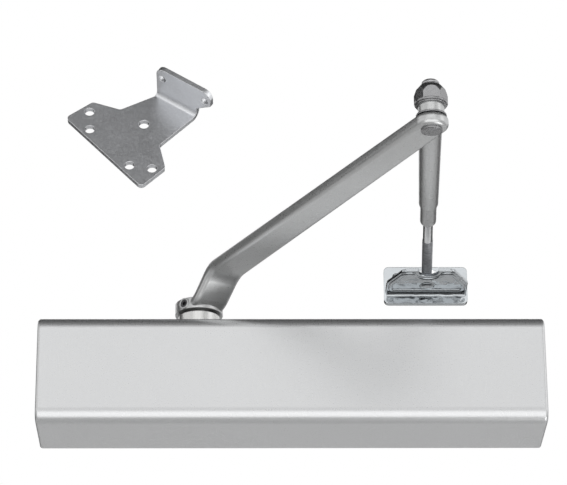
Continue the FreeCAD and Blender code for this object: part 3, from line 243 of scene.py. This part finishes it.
class CloserThreads(bpy.types.PropertyGroup):
    """Sizes and colours of the screw threads that show."""

    rod_pitch: bpy.props.FloatProperty(
        name="Rod pitch",
        description="Distance from crest to crest on the adjusting rod",
        unit="LENGTH",
        default=0.00125,
        min=0.0005,
        precision=5,
    )
    rod_start: bpy.props.FloatProperty(
        name="Rod thread start",
        description="Length of plain rod between the sleeve's nose and the first crest",
        unit="LENGTH",
        default=0.026,
        min=0.0,
        precision=4,
    )
    rod_end: bpy.props.FloatProperty(
        name="Rod thread end",
        description="Length of plain rod between the last crest and the shoe's pivot",
        unit="LENGTH",
        default=0.008,
        min=0.0,
        precision=4,
    )
    rod_colour: bpy.props.FloatVectorProperty(
        name="Rod thread steel",
        description="Rolled steel of the rod's thread",
        subtype="COLOR",
        default=(0.42, 0.43, 0.45),
        min=0.0,
        max=1.0,
    )
    bolt_pitch: bpy.props.FloatProperty(
        name="Bolt pitch",
        description="Distance from crest to crest on the elbow bolt",
        unit="LENGTH",
        default=0.00125,
        min=0.0005,
        precision=5,
    )
    bolt_colour: bpy.props.FloatVectorProperty(
        name="Bolt thread steel",
        description="Rolled steel of the elbow bolt's thread",
        subtype="COLOR",
        default=(0.6, 0.6, 0.61),
        min=0.0,
        max=1.0,
    )


class CloserSpring(bpy.types.PropertyGroup):
    """Turns of the return spring."""

    active_turns: bpy.props.IntProperty(
        name="Active turns",
        description="Open turns of the return spring, between its two closed end turns",
        default=8,
        min=2,
    )


class CloserBead(bpy.types.PropertyGroup):
    """Sizes of the bead that is pressed into the shoe's tongue."""

    inset: bpy.props.FloatProperty(
        name="Bead inset",
        description="Distance from the tongue's edge to the middle of the bead",
        unit="LENGTH",
        default=0.0028,
        min=0.0,
        precision=4,
    )
    half_width: bpy.props.FloatProperty(
        name="Bead half width",
        description="Half the width of the bead",
        unit="LENGTH",
        default=0.0014,
        min=0.0001,
        precision=4,
    )
    rise: bpy.props.FloatProperty(
        name="Bead rise",
        description="How far the bead stands out below the tongue",
        unit="LENGTH",
        default=0.0009,
        min=0.0001,
        precision=4,
    )
    taper_start: bpy.props.FloatProperty(
        name="Taper start",
        description="Distance from the frame to where the tongue starts to taper",
        unit="LENGTH",
        default=0.018,
        min=0.0,
        precision=4,
    )
    tip_half_width: bpy.props.FloatProperty(
        name="Tip half width",
        description="Half the width of the tongue's front edge",
        unit="LENGTH",
        default=0.0155,
        min=0.001,
        precision=4,
    )
    notch_radius: bpy.props.FloatProperty(
        name="Notch radius",
        description="Radius of the notch in the tongue's front edge",
        unit="LENGTH",
        default=0.006,
        min=0.0,
        precision=4,
    )
    root_room: bpy.props.FloatProperty(
        name="Root room",
        description="Distance from the frame to the bead's back run",
        unit="LENGTH",
        default=0.0085,
        min=0.0,
        precision=4,
    )


class CloserStage(bpy.types.PropertyGroup):
    """Camera and studio."""

    camera_place: bpy.props.FloatVectorProperty(
        name="Camera",
        description="Where the camera stands",
        subtype="XYZ",
        unit="LENGTH",
        default=(-0.026, -1.611, -0.609),
        precision=4,
    )
    camera_turn: bpy.props.FloatVectorProperty(
        name="Camera turn",
        description="Pitch, roll and yaw of the camera from a level look along +Y",
        subtype="EULER",
        unit="ROTATION",
        default=(math.radians(23.85), math.radians(0.32), math.radians(-0.79)),
    )
    focal_length: bpy.props.FloatProperty(
        name="Focal length",
        description="Focal length on a 36 mm wide sensor",
        unit="CAMERA",
        default=178.1,
        min=1.0,
    )
    floor_depth: bpy.props.FloatProperty(
        name="Floor depth",
        description="How far the floor lies below the door screws",
        unit="LENGTH",
        default=2.0,
        min=0.5,
    )
    fill_level: bpy.props.FloatProperty(
        name="Fill light",
        description="Level of the even light from all round",
        default=0.55,
        min=0.0,
    )


class Shader:
    """Node tree of one finish, with short calls that add a node and join it."""

    def __init__(self, name):
        self.material = bpy.data.materials.new(name)
        self.material.use_nodes = True
        self.nodes = self.material.node_tree.nodes
        self.links = self.material.node_tree.links
        self.skin = self.nodes["Principled BSDF"].inputs
        self.place = self.add("ShaderNodeTexCoord").outputs["Object"]

    def add(self, kind, **settings):
        """Adds a node of a kind and sets its options."""
        node = self.nodes.new(kind)
        for key, value in settings.items():
            setattr(node, key, value)
        return node

    def feed(self, socket, value):
        """Links an output into a socket, or sets the socket to a constant."""
        if isinstance(value, bpy.types.NodeSocket):
            self.links.new(value, socket)
        else:
            socket.default_value = value

    def noise(self, scale, detail=2.0, stretch=(1.0, 1.0, 1.0), distortion=0.0):
        """Noise over Object coordinates, in cycles per metre.

        A small stretch along an axis draws the noise out along it.
        """
        mapping = self.add("ShaderNodeMapping")
        self.feed(mapping.inputs["Vector"], self.place)
        self.feed(mapping.inputs["Scale"], stretch)
        noise = self.add("ShaderNodeTexNoise")
        self.feed(noise.inputs["Vector"], mapping.outputs["Vector"])
        self.feed(noise.inputs["Scale"], scale)
        self.feed(noise.inputs["Detail"], detail)
        self.feed(noise.inputs["Distortion"], distortion)
        return noise.outputs["Fac"]

    def spread(self, value, low, high, start=0.3, end=0.7):
        """Maps a value that runs from start to end onto the range from low to high."""
        node = self.add("ShaderNodeMapRange", clamp=True)
        self.feed(node.inputs["Value"], value)
        self.feed(node.inputs["From Min"], start)
        self.feed(node.inputs["From Max"], end)
        self.feed(node.inputs["To Min"], low)
        self.feed(node.inputs["To Max"], high)
        return node.outputs["Result"]

    def mix(self, factor, first, second):
        """Mixes two colours, from the first at factor 0 to the second at factor 1."""
        node = self.add("ShaderNodeMix", data_type="RGBA")
        self.feed(node.inputs["Factor"], factor)
        self.feed(node.inputs["A"], first)
        self.feed(node.inputs["B"], second)
        return node.outputs["Result"]

    def soft_edges(self, radius):
        """Normal that is rounded over sharp edges, and a mask that is 1 on those edges."""
        bevel = self.add("ShaderNodeBevel", samples=BEVEL_SAMPLES)
        self.feed(bevel.inputs["Radius"], radius)
        flat = self.add("ShaderNodeNewGeometry").outputs["Normal"]
        product = self.add("ShaderNodeVectorMath", operation="DOT_PRODUCT")
        self.feed(product.inputs[0], bevel.outputs["Normal"])
        self.feed(product.inputs[1], flat)
        edges = self.spread(product.outputs["Value"], 1.0, 0.0, *EDGE_COSINES)
        return bevel.outputs["Normal"], edges

    def bump(self, height, depth, normal):
        """Normal of a relief of the given depth, laid over another normal."""
        node = self.add("ShaderNodeBump")
        self.feed(node.inputs["Height"], height)
        self.feed(node.inputs["Distance"], depth)
        self.feed(node.inputs["Normal"], normal)
        return node.outputs["Normal"]


def tinted(colour, factor):
    """A colour made darker or lighter by a factor, with full alpha."""
    return tuple(min(channel * factor, 1.0) for channel in colour) + (1.0,)


def metal_finish(
    name,
    colour,
    roughness,
    metallic=1.0,
    cloud=80.0,
    grain=900.0,
    grain_depth=0.00002,
    variation=0.08,
    stretch=(1.0, 1.0, 1.0),
    edge_wear_and_highlight=0.12,
    ripple=0.0,
):
    """Metal with slow clouds in its colour, fine grain in its relief, and edges painted lighter,
    partly as rubbing and partly as a painted highlight.

    The grain also makes the roughness swing a little either way. A ripple greater than zero adds
    shallow waves of that depth, as on polished sheet.
    """
    shader = Shader(name)
    normal, edges = shader.soft_edges(bpy.context.scene.closer_finishes.edge_radius)
    if ripple:
        waves = shader.noise(RIPPLE_SCALE, detail=1.0, distortion=RIPPLE_BEND)
        normal = shader.bump(waves, ripple, normal)
    clouds = shader.spread(shader.noise(cloud, detail=3.0), 0.0, 1.0)
    fine = shader.noise(grain, stretch=stretch)
    body = shader.mix(clouds, tinted(colour, 1.0 - variation), tinted(colour, 1.0 + variation))
    speckles = shader.spread(fine, 0.0, SPECKLE_SHARE, *SPECKLE_NOISE)
    speckled = shader.mix(speckles, body, tinted(colour, 1.0 + 2.0 * variation))
    # Edges made lighter by the edge mask times the given amount: partly rubbing, partly a painted
    # highlight
    wear_and_highlight_mask = shader.add("ShaderNodeMath", operation="MULTIPLY")
    shader.feed(wear_and_highlight_mask.inputs[0], edges)
    shader.feed(wear_and_highlight_mask.inputs[1], edge_wear_and_highlight)
    rubbed_and_highlit = shader.mix(wear_and_highlight_mask.outputs["Value"], speckled, tinted(colour, WEAR_AND_HIGHLIGHT_TINT))
    shader.feed(shader.skin["Base Color"], rubbed_and_highlit)
    smoothest = max(roughness - ROUGHNESS_SWING, LEAST_ROUGHNESS)
    dullness = shader.spread(fine, smoothest, roughness + ROUGHNESS_SWING)
    shader.feed(shader.skin["Roughness"], dullness)
    shader.feed(shader.skin["Normal"], shader.bump(fine, grain_depth, normal))
    shader.feed(shader.skin["Metallic"], metallic)
    return shader.material


def shoe_finish(name):
    """Polished zinc on pressed sheet, rippled so that it shows light and dark patches."""
    return metal_finish(
        name,
        bpy.context.scene.closer_finishes.shoe_colour,
        roughness=0.1,
        cloud=40.0,
        grain=700.0,
        grain_depth=0.000004,
        edge_wear_and_highlight=0.35,
        ripple=0.0007,
    )


def blackened_finish(name):
    """Blackened steel, its edges made lighter, partly by rubbing and partly as a painted highlight.
    """
    dark = bpy.context.scene.closer_finishes.dark_colour
    return metal_finish(name, dark, roughness=0.38, cloud=90.0, variation=0.2, edge_wear_and_highlight=0.6)


def rubber_finish(name, colour):
    """Matt moulded rubber with a faint bloom."""
    shader = Shader(name)
    bloom = shader.spread(shader.noise(scale=140.0, detail=4.0), low=0.0, high=0.5)
    grey = tuple(channel + RUBBER_BLOOM for channel in colour) + (1.0,)
    shader.feed(shader.skin["Base Color"], shader.mix(bloom, tinted(colour, 1.0), grey))
    dullness = shader.spread(shader.noise(scale=600.0), low=0.55, high=0.75)
    shader.feed(shader.skin["Roughness"], dullness)
    return shader.material


def thread_finish(name, colour, axis, pitch):
    """Rolled thread: dull steel with dark oil along the flanks, in bands across the axis."""
    shader = Shader(name)
    drawn = tuple(STREAK_DRAW + abs(part) for part in axis)
    streaks = shader.noise(1.0 / pitch, detail=3.0, stretch=drawn)
    oil = shader.spread(streaks, 0.0, 1.0, start=0.35, end=0.65)
    oiled = shader.mix(oil, tinted(colour, OILY_TINT), tinted(colour, 1.0))
    shader.feed(shader.skin["Base Color"], oiled)
    shader.feed(shader.skin["Roughness"], shader.spread(streaks, low=0.28, high=0.5))
    shader.feed(shader.skin["Metallic"], 1.0)
    return shader.material


def dress(material, *nodes):
    """Gives CAD nodes one finish."""
    for name in nodes:
        data = frame["nodes"][name].data
        data.materials.clear()
        data.materials.append(material)


def joint_named(name):
    """The frame's row for a joint."""
    return next(joint for joint in frame["joints"] if joint["name"] == name)


def joint_place(name):
    """A point on a joint's axis."""
    return np.array(joint_named(name)["pos_m"], float)


def node_points(node):
    """Every vertex of a CAD node, in the shared frame."""
    piece = frame["nodes"][node]
    return np.array([piece.matrix_world @ vertex.co for vertex in piece.data.vertices])


def round_axis(node, start, axis):
    """Place along an axis and distance from it, for every vertex of a CAD node."""
    offset = node_points(node) - start
    along = offset @ axis
    return along, np.linalg.norm(offset - along[:, None] * axis, axis=1)


def new_piece(name, points, quads, caps, material):
    """Smooth piece of a grid of points, with its faces turned outwards.

    The triple products of the corners of each quad's two halves add up to six times the volume
    inside. Where that is negative, every face is turned round.
    """
    flat = points.reshape(-1, 3)
    corner = flat[quads]
    volume = np.einsum("ij,ij->", corner[:, 0], np.cross(corner[:, 1], corner[:, 2]))
    volume += np.einsum("ij,ij->", corner[:, 0], np.cross(corner[:, 2], corner[:, 3]))
    faces = quads.tolist() + caps
    if volume < 0:
        faces = [face[::-1] for face in faces]
    mesh = bpy.data.meshes.new(name)
    mesh.from_pydata(flat.tolist(), [], faces)
    mesh.shade_smooth()
    mesh.materials.append(material)
    piece = bpy.data.objects.new(name, mesh)
    bpy.context.scene.collection.objects.link(piece)
    return piece


def closed_surface(name, points, material):
    """Piece of a grid of points that closes on itself both ways."""
    rows, columns = points.shape[:2]
    index = np.arange(rows * columns).reshape(rows, columns)
    turned = np.roll(index, -1, axis=1)
    down = np.roll(index, -1, axis=0)
    quads = np.stack([index, turned, np.roll(turned, -1, axis=0), down], axis=-1)
    return new_piece(name, points, quads.reshape(-1, 4), [], material)


def tube_surface(name, points, material):
    """Piece of rings of points that close round a tube, with its first and last rings filled."""
    rings, around = points.shape[:2]
    index = np.arange(rings * around).reshape(rings, around)
    turned = np.roll(index, -1, axis=1)
    quads = np.stack([index[:-1], turned[:-1], turned[1:], index[1:]], axis=-1)
    caps = [index[0, ::-1].tolist(), index[-1].tolist()]
    return new_piece(name, points, quads.reshape(-1, 4), caps, material)


def side_directions(axis):
    """Two unit directions square to an axis and to each other."""
    steep = abs(axis[2]) >= STEEP
    helper = np.array((1.0, 0.0, 0.0) if steep else (0.0, 0.0, 1.0))
    first = np.cross(axis, helper)
    first /= np.linalg.norm(first)
    return first, np.cross(axis, first)


def thread_points(start, axis, length, root, crest, core, pitch, around=32, per_pitch=8):
    """Points of a threaded sleeve.

    Along the axis the radius is the root plus a rounded wave that reaches the crest once each
    pitch, and the wave is moved on by one pitch for each full turn round the axis. It fades out
    over one pitch at both ends, and the sleeve closes through a plain inner wall at the core.
    """
    first, second = side_directions(axis)
    steps = max(int(round(length / pitch * per_pitch)), LEAST_STEPS)
    along = np.linspace(0.0, length, steps)
    turn = np.linspace(0.0, 2.0 * np.pi, around, endpoint=False)
    phase = along[:, None] / pitch - turn[None, :] / (2.0 * np.pi)
    wave = (0.5 + 0.5 * np.cos(2.0 * np.pi * phase)) ** CREST_POWER
    fade = np.clip(np.minimum(along, length - along) / pitch, 0.0, 1.0)[:, None]
    outer = root + (crest - root) * wave * fade
    radius = np.vstack([outer, np.full((2, around), core)])
    height = np.concatenate([along, [length, 0.0]])
    rim = np.cos(turn)[:, None] * first + np.sin(turn)[:, None] * second
    return start + height[:, None, None] * axis + radius[:, :, None] * rim[None, :, :]


def coil_points(start, axis, length, coil, wire, active_turns, per_turn=40, around=14):
    """Rings of points round the wire of a compression spring, and the middle of each ring.

    The wire's middle goes round the axis at the coil radius. It rises by one wire thickness over
    the first turn and over the last, which closes the ends, and evenly over the turns between.
    Each ring is a circle of the wire's radius, square to the wire.
    """
    first, second = side_directions(axis)
    turns = active_turns + CLOSED_TURNS
    u = np.linspace(0.0, turns, turns * per_turn + 1)
    close = 2.0 * wire
    top = length - 2.0 * wire
    height = np.interp(u, [0.0, 1.0, turns - 1.0, turns], [0.0, close, top - close, top])
    angle = 2.0 * np.pi * u
    radial = np.cos(angle)[:, None] * first + np.sin(angle)[:, None] * second
    middle = start + (wire + height)[:, None] * axis + coil * radial
    tangent = np.gradient(middle, axis=0)
    tangent /= np.linalg.norm(tangent, axis=1)[:, None]
    upright = np.cross(tangent, radial)
    turn = np.linspace(0.0, 2.0 * np.pi, around, endpoint=False)[None, :, None]
    ring = np.cos(turn) * radial[:, None, :] + np.sin(turn) * upright[:, None, :]
    return middle[:, None, :] + wire * ring, middle


def bead_path(bead, root_half_width, front, samples=320, smooth=13, notch_steps=25):
    """Closed path of the bead, in metres from the shoe's middle line and from the frame.

    It is a polygon: the tongue's sides, its two slanting corners and its front edge, each moved
    inwards by the inset, with a half circle round the notch and a straight run back along the
    root. Points at even steps along the polygon are then averaged over their neighbours, which
    rounds its corners.
    """
    wide = root_half_width - bead.inset
    tip = bead.tip_half_width - bead.inset / 2.0
    near = front + bead.inset
    swing = np.radians(np.linspace(180.0, 0.0, notch_steps))
    radius = bead.notch_radius + bead.inset
    notch = [(radius * math.cos(a), near + radius * math.sin(a)) for a in swing]
    corners = [(-wide, -bead.root_room), (-wide, -bead.taper_start), (-tip, near), *notch]
    corners += [(tip, near), (wide, -bead.taper_start), (wide, -bead.root_room)]
    loop = np.array(corners + corners[:1])
    sides = np.linalg.norm(np.diff(loop, axis=0), axis=1)
    reach = np.concatenate([[0.0], np.cumsum(sides)])
    steps = np.linspace(0.0, reach[-1], samples, endpoint=False)
    path = np.stack([np.interp(steps, reach, loop[:, i]) for i in range(2)], axis=1)
    shifts = range(-(smooth // 2), smooth // 2 + 1)
    return sum(np.roll(path, shift, axis=0) for shift in shifts) / smooth


def bead_points(bead, path, side, level, around=16):
    """Rings of points of the bead, which is an ellipse carried along its path.

    Each ellipse is square to the path, with the half width as its level radius and the rise as its
    upright radius. Its middle lies at the given level, the path moved sideways by the given side.
    """
    along = np.roll(path, -1, axis=0) - np.roll(path, 1, axis=0)
    along /= np.linalg.norm(along, axis=1)[:, None]
    across = np.stack([along[:, 1], -along[:, 0], np.zeros(len(path))], axis=1)
    middle = np.column_stack([path[:, 0] + side, path[:, 1], np.full(len(path), level)])
    turn = np.linspace(0.0, 2.0 * np.pi, around, endpoint=False)
    section = bead.half_width * np.cos(turn)[None, :, None] * across[:, None, :]
    section[:, :, 2] += bead.rise * np.sin(turn)[None, :]
    return middle[:, None, :] + section


class CLOSER_OT_cover(bpy.types.Operator):
    """Satin silver lacquer on the pressed cover"""

    bl_idname = "closer.cover"
    bl_label = "Finish cover"

    def execute(self, context):
        finishes = context.scene.closer_finishes
        silver = metal_finish(
            "satin_cover_silver",
            finishes.cover_colour,
            finishes.cover_roughness,
            metallic=0.8,
            cloud=12.0,
            grain=1600.0,
            grain_depth=0.000006,
            variation=0.012,
            edge_wear_and_highlight=0.1,
        )
        dress(silver, "cover")
        return {"FINISHED"}


class CLOSER_OT_arms(bpy.types.Operator):
    """Satin silver lacquer on the forged main arm and the forearm sleeve"""

    bl_idname = "closer.arms"
    bl_label = "Finish arms"

    def execute(self, context):
        finishes = context.scene.closer_finishes
        silver = metal_finish(
            "satin_arm_silver",
            finishes.arm_colour,
            finishes.arm_roughness,
            metallic=0.85,
            cloud=30.0,
            grain=1300.0,
            grain_depth=0.00001,
            variation=0.03,
            edge_wear_and_highlight=0.25,
        )
        dress(silver, "main_arm", "forearm_sleeve")
        return {"FINISHED"}


class CLOSER_OT_zinc(bpy.types.Operator):
    """Polished zinc on the shoe, bright zinc on the rod and dull zinc on the loose bracket"""

    bl_idname = "closer.zinc"
    bl_label = "Finish zinc pieces"

    def execute(self, context):
        finishes = context.scene.closer_finishes
        dress(shoe_finish("bright_zinc"), "shoe", "shoe_rivet")
        rod = metal_finish(
            "drawn_zinc",
            finishes.bright_colour,
            roughness=0.2,
            cloud=60.0,
            grain=1100.0,
            grain_depth=0.000005,
            variation=0.06,
            stretch=(1.0, 0.06, 1.0),
        )
        dress(rod, "adjusting_rod")
        # The bracket's edges and hole rims get a strong lighter tint: a painted highlight, partly
        # rubbing as well
        plate = metal_finish(
            "dull_zinc",
            finishes.plate_colour,
            roughness=0.34,
            cloud=30.0,
            grain=620.0,
            grain_depth=0.00001,
            variation=0.1,
            edge_wear_and_highlight=0.8,
        )
        dress(plate, "parallel_arm_bracket")
        return {"FINISHED"}


class CLOSER_OT_steel(bpy.types.Operator):
    """Turned, plated, ground and blackened steel of the caps, screws, bearings and elbow"""

    bl_idname = "closer.steel"
    bl_label = "Finish steel pieces"

    def execute(self, context):
        finishes = context.scene.closer_finishes
        steel = finishes.steel_colour
        turned = metal_finish(
            "turned_steel",
            steel,
            roughness=0.3,
            cloud=50.0,
            grain=1500.0,
            grain_depth=0.000008,
            stretch=(1.0, 1.0, 0.1),
        )
        dress(turned, "left_end_cap", "right_end_cap", "spring_seat")
        dress(turned, "upper_bearing_cap", "lower_bearing_cap")
        plated = metal_finish(
            "plated_steel",
            steel,
            roughness=0.24,
            cloud=90.0,
            grain=800.0,
            variation=0.06,
            edge_wear_and_highlight=0.3,
        )
        dress(plated, "cover_screws", "power_screw", "arm_screw", "arm_washer")
        elbow = metal_finish(
            "elbow_steel",
            finishes.elbow_colour,
            roughness=0.28,
            cloud=90.0,
            grain=800.0,
            variation=0.06,
            edge_wear_and_highlight=0.4,
        )
        dress(elbow, "elbow_nut", "elbow_washers", "elbow_bolt")
        ground = metal_finish(
            "ground_steel",
            steel,
            roughness=0.18,
            grain=2200.0,
            grain_depth=0.000004,
            variation=0.04,
        )
        dress(ground, "spindle_bearings", "check_ball", "pinion_shaft", "piston")
        dress(blackened_finish("blackened_steel"), "arm_set_screw", "forearm_lock_screw")
        return {"FINISHED"}


class CLOSER_OT_body(bpy.types.Operator):
    """Cast aluminium of the body, brass of the valves and rubber of the seals"""

    bl_idname = "closer.body"
    bl_label = "Finish body"

    def execute(self, context):
        finishes = context.scene.closer_finishes
        cast = metal_finish(
            "cast_aluminium",
            finishes.cast_colour,
            roughness=0.55,
            metallic=0.9,
            cloud=30.0,
            grain=420.0,
            grain_depth=0.00012,
            variation=0.1,
            edge_wear_and_highlight=0.2,
        )
        dress(cast, "closer_housing")
        brass = metal_finish(
            "turned_brass", finishes.brass_colour, roughness=0.28, grain=1500.0, variation=0.06
        )
        dress(brass, "closing_valve", "latching_valve", "backcheck_valve", "check_valve_seat")
        rubber = rubber_finish("moulded_rubber", finishes.rubber_colour)
        dress(rubber, "end_cap_seals", "spindle_seal")
        return {"FINISHED"}


class CLOSER_OT_rod_thread(bpy.types.Operator):
    """Rolled thread on the adjusting rod, between its plain part and the shoe"""

    bl_idname = "closer.rod_thread"
    bl_label = "Make rod thread"

    def execute(self, context):
        threads = context.scene.closer_threads
        axis = np.array(joint_named("rod_adjust")["axis"], float)
        elbow = joint_place("elbow_swing")
        nose = float(round_axis("forearm_sleeve", elbow, axis)[0].max())
        reach = float(np.dot(joint_place("shoe_swivel") - elbow, axis))
        length = reach - nose - threads.rod_start - threads.rod_end
        if length <= 0:
            raise RuntimeError("the rod's plain lengths leave no room for its thread")
        along, away = round_axis("adjusting_rod", elbow, axis)
        radius = float(away[along < nose].max())
        points = thread_points(
            elbow + axis * (nose + threads.rod_start),
            axis,
            length,
            radius * ROD_ROOT,
            radius * ROD_CREST,
            radius * THREAD_CORE,
            threads.rod_pitch,
        )
        finish = thread_finish("rod_thread_steel", threads.rod_colour, axis, threads.rod_pitch)
        piece = closed_surface("rod_thread", points, finish)
        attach(piece, "rod")
        return {"FINISHED"}


class CLOSER_OT_bolt_thread(bpy.types.Operator):
    """Thread on the end of the elbow bolt that stands out of its nut"""

    bl_idname = "closer.bolt_thread"
    bl_label = "Make bolt thread"

    def execute(self, context):
        threads = context.scene.closer_threads
        axis = np.array((0.0, 0.0, 1.0))
        elbow = joint_place("elbow_swing")
        low = float(round_axis("elbow_nut", elbow, axis)[0].max()) - threads.bolt_pitch
        along, away = round_axis("elbow_bolt", elbow, axis)
        radius = float(away[along > low].max())
        points = thread_points(
            elbow + axis * low,
            axis,
            float(along[away > radius * BOLT_RIM].max()) - low,
            radius * BOLT_ROOT,
            radius * BOLT_CREST,
            radius * THREAD_CORE,
            threads.bolt_pitch,
        )
        finish = thread_finish("bolt_thread_steel", threads.bolt_colour, axis, threads.bolt_pitch)
        piece = closed_surface("elbow_bolt_thread", points, finish)
        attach(piece, "main_arm")
        return {"FINISHED"}


class CLOSER_OT_return_spring(bpy.types.Operator):
    """Return spring in two lengths, both hung on the body"""

    bl_idname = "closer.return_spring"
    bl_label = "Make return spring"

    def execute(self, context):
        low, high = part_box("return_spring")
        axis = np.array((1.0, 0.0, 0.0))
        start = np.array((low[0], (low[1] + high[1]) / 2.0, (low[2] + high[2]) / 2.0))
        away = round_axis("return_spring", start, axis)[1]
        wire = float(away.max() - away.min()) / 2.0
        coil = float(away.max()) - wire
        length = float(high[0] - low[0])
        turns = context.scene.closer_spring.active_turns
        finish = blackened_finish("spring_wire")
        rings, middle = coil_points(start, axis, length, coil, wire, turns)
        split = int(len(rings) * PISTON_SHARE)
        for name, part, joint in (
            ("return_coil_left", rings[: split + 1], "piston_slide"),
            ("return_coil_right", rings[split:], "seat_slide"),
        ):
            piece = tube_surface(name, part, finish)
            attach(piece, "body")
            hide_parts("return_spring")
            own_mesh(piece)
        return {"FINISHED"}


class CLOSER_OT_shoe_bead(bpy.types.Operator):
    """Bead that is pressed into the underside of the shoe's tongue, along its outline"""

    bl_idname = "closer.shoe_bead"
    bl_label = "Make shoe bead"

    def execute(self, context):
        bead = context.scene.closer_bead
        pivot = joint_place("shoe_swivel")
        points = node_points("shoe")
        tongue = points[points[:, 1] < pivot[1]]
        root_half_width = float(np.abs(tongue[:, 0] - pivot[0]).max())
        path = bead_path(bead, root_half_width, float(tongue[:, 1].min()))
        rings = bead_points(bead, path, pivot[0], tongue[:, 2].min())
        piece = closed_surface("shoe_bead", rings, shoe_finish("bead_zinc"))
        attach(piece, "shoe")
        return {"FINISHED"}


def stage_plane(name, centre, across, along, grey, shown):
    """Flat card: centre plus u times across plus v times along, u and v from -1 to 1."""
    corners = [(-1, -1), (1, -1), (1, 1), (-1, 1)]
    points = np.array(centre) + np.array(corners) @ np.array([across, along])
    mesh = bpy.data.meshes.new(name)
    mesh.from_pydata(points.tolist(), [], [(0, 1, 2, 3)])
    shader = Shader(name + "_paint")
    shader.feed(shader.skin["Base Color"], (grey, grey, grey, 1.0))
    shader.feed(shader.skin["Roughness"], CARD_ROUGHNESS)
    mesh.materials.append(shader.material)
    card = bpy.data.objects.new(name, mesh)
    bpy.context.scene.collection.objects.link(card)
    card.visible_camera = shown


def soft_light(name, place, size, power):
    """Rectangular area lamp at a place, facing the closer."""
    lamp = bpy.data.lights.new(name, "AREA")
    lamp.shape = "RECTANGLE"
    lamp.size, lamp.size_y = size
    lamp.energy = power
    holder = bpy.data.objects.new(name, lamp)
    bpy.context.scene.collection.objects.link(holder)
    holder.location = place
    holder.rotation_mode = "QUATERNION"
    facing = Vector(LAMP_TARGET) - Vector(place)
    holder.rotation_quaternion = facing.to_track_quat("-Z", "Y")
    holder.visible_camera = False


def studio_world(level):
    """White to the camera, in reflections and through glass, and an even fill elsewhere."""
    world = bpy.data.worlds.new("studio_world")
    world.use_nodes = True
    nodes = world.node_tree.nodes
    links = world.node_tree.links
    background = nodes["Background"]
    background.inputs["Color"].default_value = (1.0, 1.0, 1.0, 1.0)
    rays = nodes.new("ShaderNodeLightPath").outputs
    seen = rays["Is Camera Ray"]
    for kind in ("Is Glossy Ray", "Is Transmission Ray"):
        either = nodes.new("ShaderNodeMath")
        either.operation = "MAXIMUM"
        links.new(seen, either.inputs[0])
        links.new(rays[kind], either.inputs[1])
        seen = either.outputs["Value"]
    strength = nodes.new("ShaderNodeMapRange")
    links.new(seen, strength.inputs["Value"])
    strength.inputs["To Min"].default_value = level
    strength.inputs["To Max"].default_value = 1.0
    links.new(strength.outputs["Result"], background.inputs["Strength"])
    bpy.context.scene.world = world


class CLOSER_OT_studio(bpy.types.Operator):
    """Camera, floor, grey cards and lamps"""

    bl_idname = "closer.studio"
    bl_label = "Build studio"

    def execute(self, context):
        scene = context.scene
        stage = scene.closer_stage
        pitch, roll, yaw = stage.camera_turn
        look = Matrix.Rotation(yaw, 3, "Z") @ Matrix.Rotation(pitch, 3, "X")
        look = look @ Matrix.Rotation(roll, 3, "Y")
        right, forward, up = (look @ Vector(axis) for axis in ((1, 0, 0), (0, 1, 0), (0, 0, 1)))
        data = bpy.data.cameras.new("camera")
        data.sensor_fit = "HORIZONTAL"
        data.sensor_width = 36.0
        data.lens = stage.focal_length
        data.clip_end = 50.0
        camera = bpy.data.objects.new("camera", data)
        scene.collection.objects.link(camera)
        turned = Matrix((right, up, -forward)).transposed()
        camera.matrix_world = Matrix.Translation(Vector(stage.camera_place)) @ turned.to_4x4()
        scene.camera = camera
        scene.view_settings.view_transform = "Standard"
        studio_world(stage.fill_level)
        floor = (0.0, 0.0, -stage.floor_depth)
        across, along = (FLOOR_REACH, 0.0, 0.0), (0.0, FLOOR_REACH, 0.0)
        stage_plane("floor", floor, across, along, FLOOR_GREY, True)
        for name, card in CARDS.items():
            stage_plane(name, *card, False)
        for name, lamp in LAMPS.items():
            soft_light(name, *lamp)
        return {"FINISHED"}


class CLOSER_PT_panel(bpy.types.Panel):
    """Steps that dress the closer, in order, and the values that they use"""

    bl_idname = "CLOSER_PT_panel"
    bl_label = "Surface door closer"
    bl_space_type = "VIEW_3D"
    bl_region_type = "UI"
    bl_category = "Closer"

    def draw(self, context):
        for operator in STEPS:
            self.layout.operator(operator.bl_idname)
        for group in GROUPS:
            settings = getattr(context.scene, group)
            for name in settings.bl_rna.properties.keys():
                if name not in ("rna_type", "name"):
                    self.layout.prop(settings, name)


GROUPS = {
    "closer_finishes": CloserFinishes,
    "closer_threads": CloserThreads,
    "closer_spring": CloserSpring,
    "closer_bead": CloserBead,
    "closer_stage": CloserStage,
}
STEPS = (
    CLOSER_OT_cover,
    CLOSER_OT_arms,
    CLOSER_OT_zinc,
    CLOSER_OT_steel,
    CLOSER_OT_body,
    CLOSER_OT_rod_thread,
    CLOSER_OT_bolt_thread,
    CLOSER_OT_return_spring,
    CLOSER_OT_shoe_bead,
    CLOSER_OT_studio,
)
CLASSES = (*GROUPS.values(), *STEPS, CLOSER_PT_panel)


def register():
    for made in CLASSES:
        bpy.utils.register_class(made)
    for place, group in GROUPS.items():
        setattr(bpy.types.Scene, place, bpy.props.PointerProperty(type=group))


def unregister():
    for place in reversed(GROUPS):
        delattr(bpy.types.Scene, place)
    for made in reversed(CLASSES):
        bpy.utils.unregister_class(made)


def main():
    register()
    bpy.ops.closer.cover()
    bpy.ops.closer.arms()
    bpy.ops.closer.zinc()
    bpy.ops.closer.steel()
    bpy.ops.closer.body()
    bpy.ops.closer.rod_thread()
    bpy.ops.closer.bolt_thread()
    bpy.ops.closer.return_spring()
    bpy.ops.closer.shoe_bead()
    bpy.ops.closer.studio()


if __name__ == "__main__":
    main()
